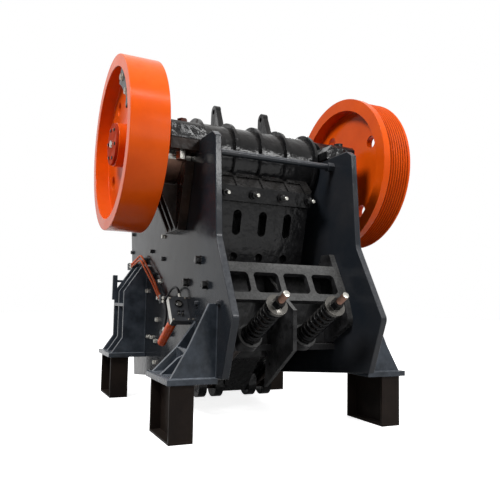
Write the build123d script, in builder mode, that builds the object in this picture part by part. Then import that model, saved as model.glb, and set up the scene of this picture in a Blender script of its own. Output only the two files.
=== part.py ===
"""Single toggle jaw crusher with bolted frame, two flywheels and a spring tensioned swing jaw.

Millimetres. +X points to the grooved flywheel, +Y to the feed side, +Z up. The origin lies on
the ground, midway between the flywheels and midway between the rod tips and the feed end.
Everything above the legs is drawn from the shaft axis: y is the distance in front of it, and a
drop or a rise is the distance below or above it.
"""

import math
import os

from build123d import *

os.makedirs("parts", exist_ok=True)

# Counts and angles
hexagon = 6
quarter_turn = 90

# Reach of the machine along Y, from the shaft axis
rear_reach = 1165
front_reach = 1780

# Clearances
seat_gap = 0.2
running_gap = 6
bearing_gap = 0.3
overrun = 50

# Side plates
inner_half_width = 574
plate_thickness = 52
plate_top_rise = 9
plate_rear_drop = 1767
plate_front_drop = 2032
rear_edge_top_y = 751
rear_edge_waist_y = 816
rear_edge_waist_drop = 793
rear_edge_heel_y = 1134
rear_edge_heel_drop = 1353
rear_edge_foot_y = 979
rear_corner_cut = 61
rear_corner_drop = 43
waist_fillet = 120
heel_fillet = 60
front_edge_foot_y = 1375
front_slope = 12.2
front_step_drop = 497
feed_top_drop = 37
feed_slope_y = 560

# Legs and foot brackets
leg_height = 390
foot_drop = 1807
leg_width = 171
leg_reach = 157
leg_depth = 456
leg_flange = 22
leg_web = 16
leg_end_plate = 15
foot_plate = 40
foot_reach = 359
foot_overhang = 34
gusset = 30
rear_foot_y = 877
front_foot_y = 987
rear_gusset_height = 502
rear_gusset_ledge = 63
rear_kink_reach = 203
rear_kink_height = 208
low_gusset_height = 366
low_kink_reach = 144
low_kink_height = 174
short_gusset_height = 110
front_gusset_height = 855
front_gusset_ledge = 49
front_kink_reach = 224
front_kink_high = 601
front_kink_low = 147
front_plate_count = 3
front_shelf_height = 450
post_height = 772
post_foot_height = 512
post_width = 24
post_bar_height = 710
post_bar_reach = 140

# Flywheels
wheel_radius = 700
wheel_gap = 89
wheel_width = 295
rim_thickness = 95
web_thickness = 60
hub_radius = 175
hub_recess = 39
web_hole_radius = 58
web_hole_circle = 450
web_hole_count = 4
web_hole_angle = 58
groove_count = 8
groove_pitch = 25.5
groove_depth = 22
groove_edge = 14
collar_rise = 14
weight_inner_radius = 470
weight_start = 113
weight_sweep = 47
weight_thickness = 96
cover_inset = 5
cover_thickness = 22

# Shaft
shaft_radius = 115
journal_radius = 100
notch_radius = 175

# Bearings
cap_inset = 13
bearing_overhang = 230
bearing_half_depth = 420
housing_drop = 82
cap_rise = 150
cap_chamfer = 30
cap_bevel = 63
cap_bevel_rise = 80
cap_radius = 268
bolt_y = 333
bolt_head_radius = 42
bolt_head_height = 34
nut_drop = 64
bracket_plate = 74
bracket_drop = 677
bracket_foot_half = 170
bracket_rib = 34
bracket_rib_count = 3

# Pitman
side_gap = 29
barrel_radius = 276
rib_radius = 310
rib_thickness = 26
rib_pitch = 242
lug_y = 192
lug_rise = 484
lug_root_y = 92
lug_eye_radius = 58
lug_hole_radius = 24
lug_thickness = 50
back_y = 351
back_drop = 368
back_slope = 12.1
pitman_half_width = 420
shoulder_half_width = 474
flange_top_drop = 317
flange_foot_drop = 435
flange_rise = 46
recess_depth = 70
recess_rib = 28
recess_count = 4
slot_pitch = 235
slot_top_drop = 495
slot_foot_drop = 699
slot_width = 74
slot_depth = 170
hole_row_drop = 876
hole_row_radius = 36
jaw_wall = 90
jaw_foot_drop = 1997
back_foot_drop = 1727
belly_y = 330
toe_y = 200
toe_drop = 2047
toe_half_width = 120
tangent_shares = (0.8, 0.6)

# Jaw dies and their wedge
die_thickness = 110
tooth_pitch = 100
tooth_height = 32
tooth_flat = 24
swing_face_top_y = 430
swing_face_slope = 7.6
gape = 770
die_top_drop = 47
fixed_die_drop = 1937
swing_die_drop = 1947
wedge_height = 52
wedge_depth = 96
wedge_slope = 18
cheek_thickness = 22

# Front wall
wall_seat = 75
wall_rib = 60
wall_rows = 3
wall_columns = 3
wall_foot_rise = 50
wall_top_inset = 50

# Toggle beam
beam_face_y = 574
beam_face_drop = 943
beam_slope = 30
beam_face_plate = 48
beam_face_length = 332
window_pitch = 258
window_width = 212
window_height = 180
window_top = 88
window_corner = 34
window_count = 4
beam_back_y = 330
beam_back_foot_y = 415
beam_foot_drop = 1625
beam_plate = 46
beam_lip = 70
middle_web = 32
web_rear_y = 861
web_top_drop = 1302
web_foot_drop = 1597
web_tip_y = 418
web_tip_drop = 1925
end_flange = 50
end_crown_y = 518
end_crown_drop = 838
end_crown_top_y = 400
end_belly_y = 800
end_belly_drop = 1407
end_heel_y = 678
end_heel_drop = 1466
end_fillet = 60

# Toggle
toggle_thickness = 70
toggle_half_width = 420
toggle_rear_y = 345
toggle_rear_drop = 1337
toggle_front_y = 40
toggle_front_drop = 1507
toggle_seat_depth = 70
toggle_seat_height = 130
toggle_mouth_height = 300
toggle_mouth_rise = 40

# Tension rods and springs
rod_x = 240
rod_radius = 24
rod_slope = 30
rod_tip_drop = 1187
rod_tip_inset = 12
rod_stub = 96
pin_distance = 1620
pin_radius = 30
clevis_radius = 100
clevis_half_width = 115
clevis_slot = 80
spring_outer_radius = 74
spring_wire = 24
spring_length = 420
retainer_radius = 82
retainer_thickness = 30
nut_radius = 44
nut_height = 56
boss_radius = 98
seat_sides = 8

# Hand pump, its reservoir and hoses, on the left side plate
pump_y = 280
pump_drop = 1312
pump_lean = 33
pump_width = 150
pump_height = 220
pump_depth = 60
gauge_radius = 27
gauge_depth = 8
gauge_offset = 44
valve_width = 16
valve_height = 54
valve_spacing = 34
valve_offset = 50
valve_count = 2
reservoir_radius = 36
reservoir_length = 360
reservoir_across = 40
reservoir_down = 68
setting_hose_radius = 10
pump_hose_radius = 8
hose_sides = 6
hose_spacing = 30
hose_offset = 44
arc_share = 0.45
block_depth = 66
coupling_y = 290
coupling_drop = 1243
coupling_width = 50
coupling_height = 70
port_y = 1530
port_drop = 891
port_lean = -8
port_width = 60
port_height = 70
port_run = 140
drain_y = 245
drain_drop = 1532
drain_lean = -43
drain_size = 50
drain_run = 80
pump_run = 75
clip_width = 36
clip_height = 60
clip_runs = (3, 5)

# Spacer rod
spacer_y = 490
spacer_drop = 84
spacer_radius = 25
spacer_nut_radius = 40
spacer_nut_length = 60

# Worked out from the sizes above
shaft_y = (rear_reach - front_reach) / 2
shaft_height = leg_height + foot_drop
outer_half_width = inner_half_width + plate_thickness
wall_x = outer_half_width + seat_gap
bearing_outer_x = wall_x + bearing_overhang
wheel_inner_x = bearing_outer_x + wheel_gap
wheel_outer_x = wheel_inner_x + wheel_width
wheel_middle_x = (wheel_outer_x + wheel_inner_x) / 2
hub_end_x = wheel_outer_x - hub_recess
rim_mouth_radius = wheel_radius - rim_thickness
barrel_half_length = inner_half_width - side_gap
front_tilt = math.tan(math.radians(front_slope))
swing_tilt = math.tan(math.radians(swing_face_slope))
back_tilt = math.tan(math.radians(back_slope))
wedge_tilt = math.tan(math.radians(wedge_slope))
swing_cos = math.cos(math.radians(swing_face_slope))
swing_sin = math.sin(math.radians(swing_face_slope))
rod_cos = math.cos(math.radians(rod_slope))
rod_sin = math.sin(math.radians(rod_slope))
die_half_width = inner_half_width - cheek_thickness - running_gap
hose_x = wall_x + hose_offset


def side_view(x):
    """Plane across X: its first axis is +Y and its second +Z, both from the shaft axis."""
    return Plane((x, shaft_y, shaft_height), x_dir=(0, 1, 0), z_dir=(1, 0, 0))


def rear_view(y):
    """Plane across Y, seen from behind: its first axis is +X, its second +Z from the shaft."""
    return Plane((0, shaft_y + y, shaft_height), x_dir=(1, 0, 0), z_dir=(0, -1, 0))


def top_view(rise):
    """Plane across Z at a rise from the shaft axis, with +X and +Y from the shaft."""
    return Plane((0, shaft_y, shaft_height + rise))


def rod_plane(side, distance):
    """Plane across a tension rod at a distance from its rear tip, facing forwards and down."""
    y = shaft_y - rear_reach + rod_tip_inset + distance * rod_cos
    z = shaft_height - rod_tip_drop - distance * rod_sin
    return Plane((side * rod_x, y, z), x_dir=(1, 0, 0), z_dir=(0, rod_cos, -rod_sin))


def rod_point(distance):
    """Place on a tension rod's axis in the side view, at a distance from its rear tip."""
    return (-rear_reach + rod_tip_inset + distance * rod_cos, -rod_tip_drop - distance * rod_sin)


def front_edge_y(drop):
    """Front edge of the side plates and of the front wall."""
    return front_edge_foot_y + (plate_front_drop - drop) * front_tilt


def fixed_face_y(drop):
    """Plane that the fixed jaw die's ridges touch."""
    return swing_face_top_y + gape - (drop - die_top_drop) * front_tilt


def swing_face_y(drop):
    """Plane that the swing jaw die's ridges touch."""
    return swing_face_top_y + (drop - die_top_drop) * swing_tilt


def jaw_seat_y(drop):
    """Front of the pitman, where the swing jaw die seats."""
    return swing_face_y(drop) - die_thickness / swing_cos - seat_gap


def wall_seat_y(drop):
    """Rear of the front wall, where the fixed jaw die seats."""
    return fixed_face_y(drop) + die_thickness / math.cos(math.radians(front_slope)) + seat_gap


def back_face_y(drop):
    """Rear face of the pitman's slotted back plate."""
    return -back_y + (drop - back_drop) * back_tilt


def along(start, degrees, distance):
    """Place in the side view at a distance and an angle above +Y from another."""
    turn = math.radians(degrees)
    return (start[0] + distance * math.cos(turn), start[1] + distance * math.sin(turn))


def save(piece, name):
    """Labels a finished piece and writes it as one file."""
    piece.part.label = name
    export_step(piece.part, f"parts/{name}.step")


def side_name(side):
    """Left is -X, the plain flywheel's side."""
    return "left" if side < 0 else "right"


def mirrored(side, outline):
    """Outline across the machine, drawn for the right and turned to the named side."""
    return [(side * x, z) for x, z in outline]


def make_side_plate(side):
    """Thick plate with a waisted rear edge and a round notch for the shaft."""
    front_step_y = front_edge_y(front_step_drop)
    with BuildPart() as plate:
        with BuildSketch(side_view(side * inner_half_width)):
            with BuildLine():
                Polyline(
                    (-rear_edge_top_y + rear_corner_cut, plate_top_rise),
                    (-rear_edge_top_y, plate_top_rise - rear_corner_drop),
                    (-rear_edge_waist_y, -rear_edge_waist_drop),
                    (-rear_edge_heel_y, -rear_edge_heel_drop),
                    (-rear_edge_foot_y, -plate_rear_drop),
                    (front_edge_foot_y, -plate_front_drop),
                    (front_step_y, -front_step_drop),
                    (front_reach, -front_step_drop + rear_corner_drop),
                    (front_reach, -feed_top_drop),
                    (feed_slope_y, -feed_top_drop),
                    (feed_slope_y - rear_corner_cut, plate_top_rise),
                    close=True,
                )
            face = make_face()
            with Locations((0, 0)):
                Circle(notch_radius, mode=Mode.SUBTRACT)
                Rectangle(
                    2 * notch_radius, 2 * notch_radius, align=(Align.CENTER, Align.MIN), mode=Mode.SUBTRACT
                )
        extrude(amount=side * plate_thickness)
        rear_corners = plate.edges().filter_by(Axis.X).group_by(Axis.Y)
        fillet(rear_corners[0], heel_fillet)
        waist = plate.edges().filter_by(Axis.X).sort_by_distance(
            (side * inner_half_width, shaft_y - rear_edge_waist_y, shaft_height - rear_edge_waist_drop)
        )
        fillet(waist[0], waist_fillet)
    save(plate, f"side_plate_{side_name(side)}")


def make_leg(side, rear_y, name):
    """I section leg, flanges front and back, closed by thin end plates."""
    middle_x = side * (wall_x + leg_reach + leg_width / 2)
    middle_y = shaft_y + rear_y + leg_depth / 2
    with BuildPart() as leg:
        with BuildSketch(Plane.XY):
            with Locations((middle_x, middle_y)):
                Rectangle(leg_web, leg_depth)
            with Locations((middle_x, middle_y + leg_depth / 2 - leg_flange / 2)):
                Rectangle(leg_width, leg_flange)
            with Locations((middle_x, middle_y - leg_depth / 2 + leg_flange / 2)):
                Rectangle(leg_width, leg_flange)
        extrude(amount=leg_height)
        for level in (0, leg_height - leg_end_plate):
            with BuildSketch(Plane.XY.offset(level)):
                with Locations((middle_x, middle_y)):
                    Rectangle(leg_width, leg_depth)
            extrude(amount=leg_end_plate)
    save(leg, f"leg_{name}_{side_name(side)}")


def make_rear_foot(side):
    """Base plate with two tall gussets, a stiffener along their kink and a short gusset."""
    top = -foot_drop + foot_plate
    tip_x = wall_x + foot_reach - foot_overhang
    middle = (side * (wall_x + foot_reach / 2), -rear_foot_y + leg_depth / 2)
    rear_outline = [
        (wall_x, top),
        (wall_x, top + rear_gusset_height),
        (wall_x + rear_gusset_ledge, top + rear_gusset_height),
        (wall_x + rear_kink_reach, top + rear_kink_height),
        (tip_x, top),
    ]
    low_outline = [
        (wall_x, top),
        (wall_x, top + low_gusset_height),
        (wall_x + low_kink_reach, top + low_kink_height),
        (tip_x, top),
    ]
    short_outline = [
        (wall_x + low_kink_reach, top),
        (wall_x + low_kink_reach, top + short_gusset_height + gusset),
        (wall_x + rear_kink_reach, top + short_gusset_height),
        (tip_x, top),
    ]
    plates = [
        (-rear_foot_y, rear_outline),
        (-rear_foot_y + leg_depth - gusset, low_outline),
        (-rear_foot_y + leg_depth / 2, short_outline),
    ]
    with BuildPart() as foot:
        with BuildSketch(top_view(-foot_drop)):
            with Locations(middle):
                Rectangle(foot_reach, leg_depth + 2 * foot_overhang)
        extrude(amount=foot_plate)
        for y, outline in plates:
            with BuildSketch(rear_view(y)):
                with BuildLine():
                    Polyline(*mirrored(side, outline), close=True)
                make_face()
            extrude(amount=-gusset)
        with BuildSketch(top_view(top)):
            with Locations((side * (wall_x + low_kink_reach - gusset / 2), middle[1])):
                Rectangle(gusset, leg_depth)
        extrude(amount=low_kink_height)
    save(foot, f"foot_bracket_rear_{side_name(side)}")


def make_front_foot(side):
    """Base plate, three tall plates with a shelf between them, and a post on the foremost."""
    top = -foot_drop + foot_plate
    middle = (side * (wall_x + foot_reach / 2), front_foot_y + leg_depth / 2)
    outline = [
        (wall_x, top),
        (wall_x, top + front_gusset_height),
        (wall_x + front_gusset_ledge, top + front_gusset_height),
        (wall_x + front_kink_reach, top + front_kink_high),
        (wall_x + front_kink_reach, top + front_kink_low),
        (wall_x + foot_reach - foot_overhang, top),
    ]
    post_x = wall_x + front_kink_reach
    last_y = front_foot_y + leg_depth - gusset
    with BuildPart() as foot:
        with BuildSketch(top_view(-foot_drop)):
            with Locations(middle):
                Rectangle(foot_reach, leg_depth + 2 * foot_overhang)
        extrude(amount=foot_plate)
        for step in range(front_plate_count):
            with BuildSketch(rear_view(front_foot_y + step * (leg_depth - gusset) / (front_plate_count - 1))):
                with BuildLine():
                    Polyline(*mirrored(side, outline), close=True)
                make_face()
            extrude(amount=-gusset)
        with BuildSketch(top_view(top + front_shelf_height)):
            with Locations((side * (wall_x + front_kink_reach / 2), middle[1])):
                Rectangle(front_kink_reach, leg_depth)
        extrude(amount=gusset)
        with BuildSketch(rear_view(last_y)):
            with Locations((side * post_x, top + (post_foot_height + post_height) / 2)):
                Rectangle(2 * post_width, post_height - post_foot_height)
            with Locations((side * (post_x - post_bar_reach / 2), top + post_bar_height)):
                Rectangle(post_bar_reach, post_width)
        extrude(amount=-gusset)
    save(foot, f"foot_bracket_front_{side_name(side)}")


def make_flywheel(side, grooved):
    """Rim, web and hub in one casting; the drive wheel has belt grooves and a collar."""
    axis = Axis((0, shaft_y, shaft_height), (1, 0, 0))
    section = Plane((0, shaft_y, shaft_height), x_dir=(side, 0, 0), z_dir=(0, -side, 0))
    web_low = wheel_middle_x - web_thickness / 2
    web_high = wheel_middle_x + web_thickness / 2
    bore = journal_radius + seat_gap
    tread = [(wheel_inner_x, wheel_radius), (wheel_outer_x, wheel_radius)]
    if grooved:
        grooves_x = wheel_outer_x - groove_edge - groove_count * groove_pitch
        tread = [
            (wheel_inner_x, wheel_radius + collar_rise),
            (grooves_x - groove_edge, wheel_radius + collar_rise),
            (grooves_x, wheel_radius),
        ]
        for index in range(groove_count):
            start = grooves_x + index * groove_pitch
            tread.append((start + groove_pitch / 2, wheel_radius - groove_depth))
            tread.append((start + groove_pitch, wheel_radius))
        tread.append((wheel_outer_x, wheel_radius))
    with BuildPart() as wheel:
        with BuildSketch(section):
            with BuildLine():
                Polyline(
                    (wheel_inner_x, bore),
                    (wheel_inner_x, hub_radius),
                    (web_low, hub_radius),
                    (web_low, rim_mouth_radius),
                    (wheel_inner_x, rim_mouth_radius),
                    *tread,
                    (wheel_outer_x, rim_mouth_radius),
                    (web_high, rim_mouth_radius),
                    (web_high, hub_radius),
                    (hub_end_x, hub_radius),
                    (hub_end_x, bore),
                    close=True,
                )
            make_face()
        revolve(axis=axis)
        with BuildSketch(side_view(side * (wheel_middle_x - web_thickness))):
            with PolarLocations(web_hole_circle, web_hole_count, web_hole_angle):
                Circle(web_hole_radius)
        extrude(amount=side * 2 * web_thickness, mode=Mode.SUBTRACT)
    save(wheel, f"flywheel_{side_name(side)}")


def make_counterweight(side):
    """Cast iron sector bolted to the web, inside the rim."""
    start = math.radians(weight_start)
    middle = math.radians(weight_start + weight_sweep / 2)
    finish = math.radians(weight_start + weight_sweep)
    outer = rim_mouth_radius - seat_gap

    def at(radius, angle):
        """Place at a radius and an angle about the shaft axis."""
        return (radius * math.cos(angle), radius * math.sin(angle))

    with BuildPart() as weight:
        with BuildSketch(side_view(side * (wheel_middle_x + web_thickness / 2 + seat_gap))):
            with BuildLine():
                ThreePointArc(at(outer, start), at(outer, middle), at(outer, finish))
                Line(at(outer, finish), at(weight_inner_radius, finish))
                ThreePointArc(
                    at(weight_inner_radius, finish),
                    at(weight_inner_radius, middle),
                    at(weight_inner_radius, start),
                )
                Line(at(weight_inner_radius, start), at(outer, start))
            make_face()
            with PolarLocations(web_hole_circle, web_hole_count, web_hole_angle):
                Circle(web_hole_radius, mode=Mode.SUBTRACT)
        extrude(amount=side * weight_thickness)
    save(weight, f"counterweight_{side_name(side)}")


def make_hub_cover(side):
    """Round plate that closes the hub over the shaft end."""
    with BuildPart() as cover:
        with BuildSketch(side_view(side * (hub_end_x + seat_gap))):
            Circle(hub_radius - cover_inset)
        extrude(amount=side * cover_thickness)
    save(cover, f"hub_cover_{side_name(side)}")


def make_shaft():
    """Stepped shaft through both bearings and both hubs."""
    shoulder = bearing_outer_x + running_gap
    with BuildPart() as shaft:
        with BuildSketch(side_view(-hub_end_x)):
            Circle(journal_radius)
        extrude(amount=2 * hub_end_x)
        with BuildSketch(side_view(-shoulder)):
            Circle(shaft_radius)
        extrude(amount=2 * shoulder)
    save(shaft, "eccentric_shaft")


def make_bearing(side):
    """Housing on the side plate's outer face, the cap over it, and the bracket below it."""
    split = plate_top_rise + seat_gap
    bore = shaft_radius + bearing_gap
    cap_inner_x = inner_half_width - cap_inset
    with BuildPart() as housing:
        with BuildSketch(side_view(side * wall_x)):
            Rectangle(2 * bearing_half_depth, housing_drop, align=(Align.CENTER, Align.MAX))
            Rectangle(2 * bearing_half_depth, plate_top_rise, align=(Align.CENTER, Align.MIN))
            Circle(cap_radius)
            with Locations((0, plate_top_rise)):
                Rectangle(
                    2 * cap_radius, 2 * cap_radius, align=(Align.CENTER, Align.MIN), mode=Mode.SUBTRACT
                )
            Circle(bore, mode=Mode.SUBTRACT)
        extrude(amount=side * bearing_overhang)
        with BuildSketch(top_view(-nut_drop - housing_drop)):
            with Locations(
                (side * (wall_x + bearing_outer_x) / 2, -bolt_y),
                (side * (wall_x + bearing_outer_x) / 2, bolt_y),
            ):
                RegularPolygon(bolt_head_radius, hexagon)
        extrude(amount=nut_drop)
    save(housing, f"bearing_housing_{side_name(side)}")

    with BuildPart() as cap:
        with BuildSketch(side_view(side * cap_inner_x)):
            with BuildLine():
                Polyline(
                    (-bearing_half_depth, split),
                    (-bearing_half_depth, cap_rise - cap_chamfer),
                    (-bearing_half_depth + cap_chamfer, cap_rise),
                    (bearing_half_depth - cap_chamfer, cap_rise),
                    (bearing_half_depth, cap_rise - cap_chamfer),
                    (bearing_half_depth, split),
                    close=True,
                )
            make_face()
            Circle(cap_radius)
            with Locations((0, split)):
                low_half = (Align.CENTER, Align.MAX)
                Rectangle(2 * bearing_half_depth, 2 * cap_radius, align=low_half, mode=Mode.SUBTRACT)
            Circle(bore, mode=Mode.SUBTRACT)
        extrude(amount=side * (bearing_outer_x - cap_inner_x))
        with BuildSketch(rear_view(-bearing_half_depth - overrun)):
            with BuildLine():
                Polyline(
                    (side * cap_inner_x, cap_bevel_rise),
                    (side * (cap_inner_x + cap_bevel), cap_rise),
                    (side * (cap_inner_x + cap_bevel), cap_radius + overrun),
                    (side * (cap_inner_x - overrun), cap_radius + overrun),
                    (side * (cap_inner_x - overrun), cap_bevel_rise),
                    close=True,
                )
            make_face()
        extrude(amount=-2 * (bearing_half_depth + overrun), mode=Mode.SUBTRACT)
        with BuildSketch(top_view(cap_rise)):
            with Locations(
                (side * (wall_x + bearing_outer_x) / 2, -bolt_y),
                (side * (wall_x + bearing_outer_x) / 2, bolt_y),
            ):
                RegularPolygon(bolt_head_radius, hexagon)
        extrude(amount=bolt_head_height)
    save(cap, f"bearing_cap_{side_name(side)}")

    with BuildPart() as bracket:
        with BuildSketch(side_view(side * wall_x)):
            with BuildLine():
                Polyline(
                    (-bearing_half_depth + 2 * bolt_head_radius, -housing_drop - nut_drop - seat_gap),
                    (-bracket_foot_half, -bracket_drop),
                    (bracket_foot_half, -bracket_drop),
                    (bearing_half_depth - 2 * bolt_head_radius, -housing_drop - nut_drop - seat_gap),
                    close=True,
                )
            make_face()
            Circle(cap_radius + seat_gap, mode=Mode.SUBTRACT)
        extrude(amount=side * bracket_plate)
        for step in range(bracket_rib_count):
            rib_y = (step - (bracket_rib_count - 1) / 2) * 2 * bracket_foot_half / bracket_rib_count
            rib_top = -cap_radius - bracket_rib
            with BuildSketch(rear_view(rib_y - bracket_rib / 2)):
                with BuildLine():
                    Polyline(
                        (side * wall_x, -bracket_drop),
                        (side * (wall_x + bracket_plate), -bracket_drop),
                        (side * bearing_outer_x, rib_top),
                        (side * wall_x, rib_top),
                        close=True,
                    )
                make_face()
            extrude(amount=-bracket_rib)
    save(bracket, f"bearing_bracket_{side_name(side)}")


def make_pitman():
    """Swing jaw casting: ribbed barrel, jaw seat, slotted back, toggle mouth and clevis lugs."""
    seat_top_y = jaw_seat_y(die_top_drop)
    nose_drop = die_top_drop + die_thickness * swing_sin - wedge_height * swing_cos
    seat_foot_y = jaw_seat_y(jaw_foot_drop)
    tangent = (-barrel_radius * tangent_shares[0], -barrel_radius * tangent_shares[1])
    pin_y, pin_z = rod_point(pin_distance)
    with BuildPart() as pitman:
        with BuildSketch(side_view(-barrel_half_length)):
            Circle(barrel_radius)
            with BuildLine():
                Polyline(
                    (0, 0),
                    (jaw_seat_y(nose_drop), -nose_drop),
                    (seat_foot_y, -jaw_foot_drop),
                    (seat_foot_y - jaw_wall, -jaw_foot_drop),
                    (seat_top_y - 2 * jaw_wall, -barrel_radius),
                    close=True,
                )
            make_face()
        extrude(amount=2 * barrel_half_length)
        with BuildSketch(side_view(-shoulder_half_width)):
            with BuildLine():
                Polyline(
                    tangent,
                    (back_face_y(flange_top_drop), -flange_top_drop),
                    (seat_top_y - jaw_wall / 2, -flange_top_drop),
                    (seat_top_y - jaw_wall / 2, 0),
                    (0, 0),
                    close=True,
                )
            make_face()
        extrude(amount=2 * shoulder_half_width)
        with BuildSketch(side_view(-pitman_half_width)):
            with BuildLine():
                Polyline(
                    (back_face_y(flange_top_drop), -flange_top_drop),
                    (back_face_y(back_foot_drop), -back_foot_drop),
                    (belly_y, -jaw_foot_drop),
                    (seat_foot_y - jaw_wall / 2, -jaw_foot_drop),
                    (seat_top_y - jaw_wall / 2, -flange_top_drop),
                    close=True,
                )
            make_face()
            with BuildLine():
                Polyline(
                    (back_face_y(flange_top_drop), -flange_top_drop),
                    (back_face_y(flange_top_drop) - flange_rise, -flange_top_drop),
                    (back_face_y(flange_foot_drop) - flange_rise, -flange_foot_drop),
                    (back_face_y(flange_foot_drop), -flange_foot_drop),
                    close=True,
                )
            make_face()
        extrude(amount=2 * pitman_half_width)
        with BuildSketch(rear_view(-barrel_radius - back_y)):
            for side in (-1, 1):
                with BuildLine():
                    Polyline(
                        (side * pitman_half_width, -flange_top_drop),
                        (side * shoulder_half_width, -barrel_radius),
                        (side * (shoulder_half_width + overrun), -barrel_radius),
                        (side * (shoulder_half_width + overrun), -flange_top_drop - seat_gap),
                        (side * pitman_half_width, -flange_top_drop - seat_gap),
                        close=True,
                    )
                make_face()
        extrude(amount=-barrel_radius - back_y, mode=Mode.SUBTRACT)
        cell_top = (tangent[0] + recess_depth, tangent[1] - recess_depth / 2)
        for index in range(recess_count):
            start_x = (index - recess_count / 2) * rib_pitch
            edge_x = pitman_half_width - recess_rib
            low_x = max(start_x + recess_rib / 2, -edge_x)
            high_x = min(start_x + rib_pitch - recess_rib / 2, edge_x)
            with BuildSketch(side_view(low_x)):
                with BuildLine():
                    Polyline(
                        (tangent[0] - overrun, tangent[1] - recess_depth / 2),
                        cell_top,
                        (back_face_y(flange_top_drop) + recess_depth, -flange_top_drop),
                        (back_face_y(flange_top_drop) - overrun, -flange_top_drop),
                        close=True,
                    )
                make_face()
            extrude(amount=high_x - low_x, mode=Mode.SUBTRACT)
        for rib_x in (-1, 0, 1):
            with BuildSketch(side_view(rib_x * rib_pitch - rib_thickness / 2)):
                Circle(rib_radius)
            extrude(amount=rib_thickness)
        for side in (-1, 1):
            with BuildSketch(side_view(side * barrel_half_length)):
                Circle(rib_radius)
            extrude(amount=-side * rib_thickness)
            with BuildSketch(side_view(side * rib_pitch - lug_thickness / 2)):
                with BuildLine():
                    Polyline(
                        (-lug_root_y, 0),
                        (lug_y - lug_eye_radius, lug_rise),
                        (lug_y + lug_eye_radius, lug_rise),
                        (barrel_radius, 0),
                        close=True,
                    )
                make_face()
                with Locations((lug_y, lug_rise)):
                    Circle(lug_eye_radius)
                    Circle(lug_hole_radius, mode=Mode.SUBTRACT)
            extrude(amount=lug_thickness)
            with BuildSketch(side_view(side * rod_x - clevis_half_width)):
                with BuildLine():
                    Polyline(
                        (pin_y - clevis_radius, pin_z),
                        (pin_y - clevis_radius, -jaw_foot_drop + clevis_radius),
                        (pin_y + clevis_radius, -jaw_foot_drop + clevis_radius / 2),
                        (pin_y + clevis_radius, pin_z),
                        close=True,
                    )
                make_face()
                with Locations((pin_y, pin_z)):
                    Circle(clevis_radius)
            extrude(amount=2 * clevis_half_width)
        with BuildSketch(side_view(-toe_half_width)):
            with BuildLine():
                Polyline(
                    (back_face_y(back_foot_drop), -back_foot_drop),
                    (toe_y, -toe_drop),
                    (belly_y, -toe_drop),
                    (seat_foot_y - jaw_wall, -jaw_foot_drop),
                    (seat_foot_y - jaw_wall, -back_foot_drop),
                    close=True,
                )
            make_face()
        extrude(amount=2 * toe_half_width)
        slot_top = pin_z + 2 * clevis_radius * rod_sin / rod_cos + clevis_slot
        for side in (-1, 1):
            with BuildSketch(side_view(side * rod_x - clevis_slot / 2)):
                with BuildLine():
                    Polyline(
                        (pin_y - 2 * clevis_radius, slot_top),
                        (pin_y + clevis_radius + overrun, pin_z + pin_radius),
                        (pin_y + clevis_radius + overrun, pin_z - clevis_radius - overrun),
                        (pin_y - 2 * clevis_radius, pin_z - clevis_radius - overrun),
                        close=True,
                    )
                make_face()
            extrude(amount=clevis_slot, mode=Mode.SUBTRACT)
            with BuildSketch(side_view(side * rod_x - clevis_half_width)):
                with Locations((pin_y, pin_z)):
                    Circle(pin_radius + seat_gap)
            extrude(amount=2 * clevis_half_width, mode=Mode.SUBTRACT)
        with BuildSketch(side_view(-barrel_half_length - overrun)):
            Circle(shaft_radius + running_gap)
        extrude(amount=2 * (barrel_half_length + overrun), mode=Mode.SUBTRACT)
        with BuildSketch(rear_view(-back_y)):
            for step in (-1, 0, 1):
                with Locations((step * slot_pitch, -(slot_top_drop + slot_foot_drop) / 2)):
                    SlotOverall(slot_foot_drop - slot_top_drop, slot_width, rotation=quarter_turn)
                with Locations((step * slot_pitch, -hole_row_drop)):
                    Circle(hole_row_radius)
        extrude(amount=-slot_depth, mode=Mode.SUBTRACT)
        with BuildSketch(side_view(-toggle_half_width - seat_gap)):
            with Locations((-toggle_front_y + toggle_seat_depth / 2, -toggle_front_drop)):
                Rectangle(toggle_seat_depth + 2 * seat_gap, toggle_seat_height + 2 * seat_gap)
            with Locations((-toggle_front_y - toggle_seat_depth, -toggle_front_drop + toggle_mouth_rise)):
                Rectangle(2 * toggle_seat_depth, toggle_mouth_height)
        extrude(amount=2 * (toggle_half_width + seat_gap), mode=Mode.SUBTRACT)
    save(pitman, "pitman")


def make_die(name, face_y, foot_drop, slope, sign):
    """Toothed jaw die: a slab whose cross-section has flat topped ridges, standing on its slope."""
    lean = math.radians(slope)
    length = (foot_drop - die_top_drop) / math.cos(lean)
    teeth = int(2 * die_half_width // tooth_pitch)
    margin = die_half_width - teeth * tooth_pitch / 2
    flank = (tooth_pitch - 2 * tooth_flat) / 2
    outline = [(-die_half_width, die_thickness), (-die_half_width, tooth_height)]
    for index in range(teeth):
        start = -die_half_width + margin + index * tooth_pitch
        outline.append((start + tooth_flat / 2, tooth_height))
        outline.append((start + tooth_flat / 2 + flank, 0))
        outline.append((start + tooth_flat / 2 + flank + tooth_flat, 0))
        outline.append((start + tooth_pitch - tooth_flat / 2, tooth_height))
    outline.append((die_half_width, tooth_height))
    outline.append((die_half_width, die_thickness))
    across = Plane(
        (0, shaft_y + face_y(foot_drop), shaft_height - foot_drop),
        x_dir=(sign, 0, 0),
        z_dir=(0, sign * math.sin(lean), math.cos(lean)),
    )
    with BuildPart() as die:
        with BuildSketch(across):
            with BuildLine():
                Polyline(*outline, close=True)
            make_face()
        extrude(amount=length)
    save(die, name)


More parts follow.
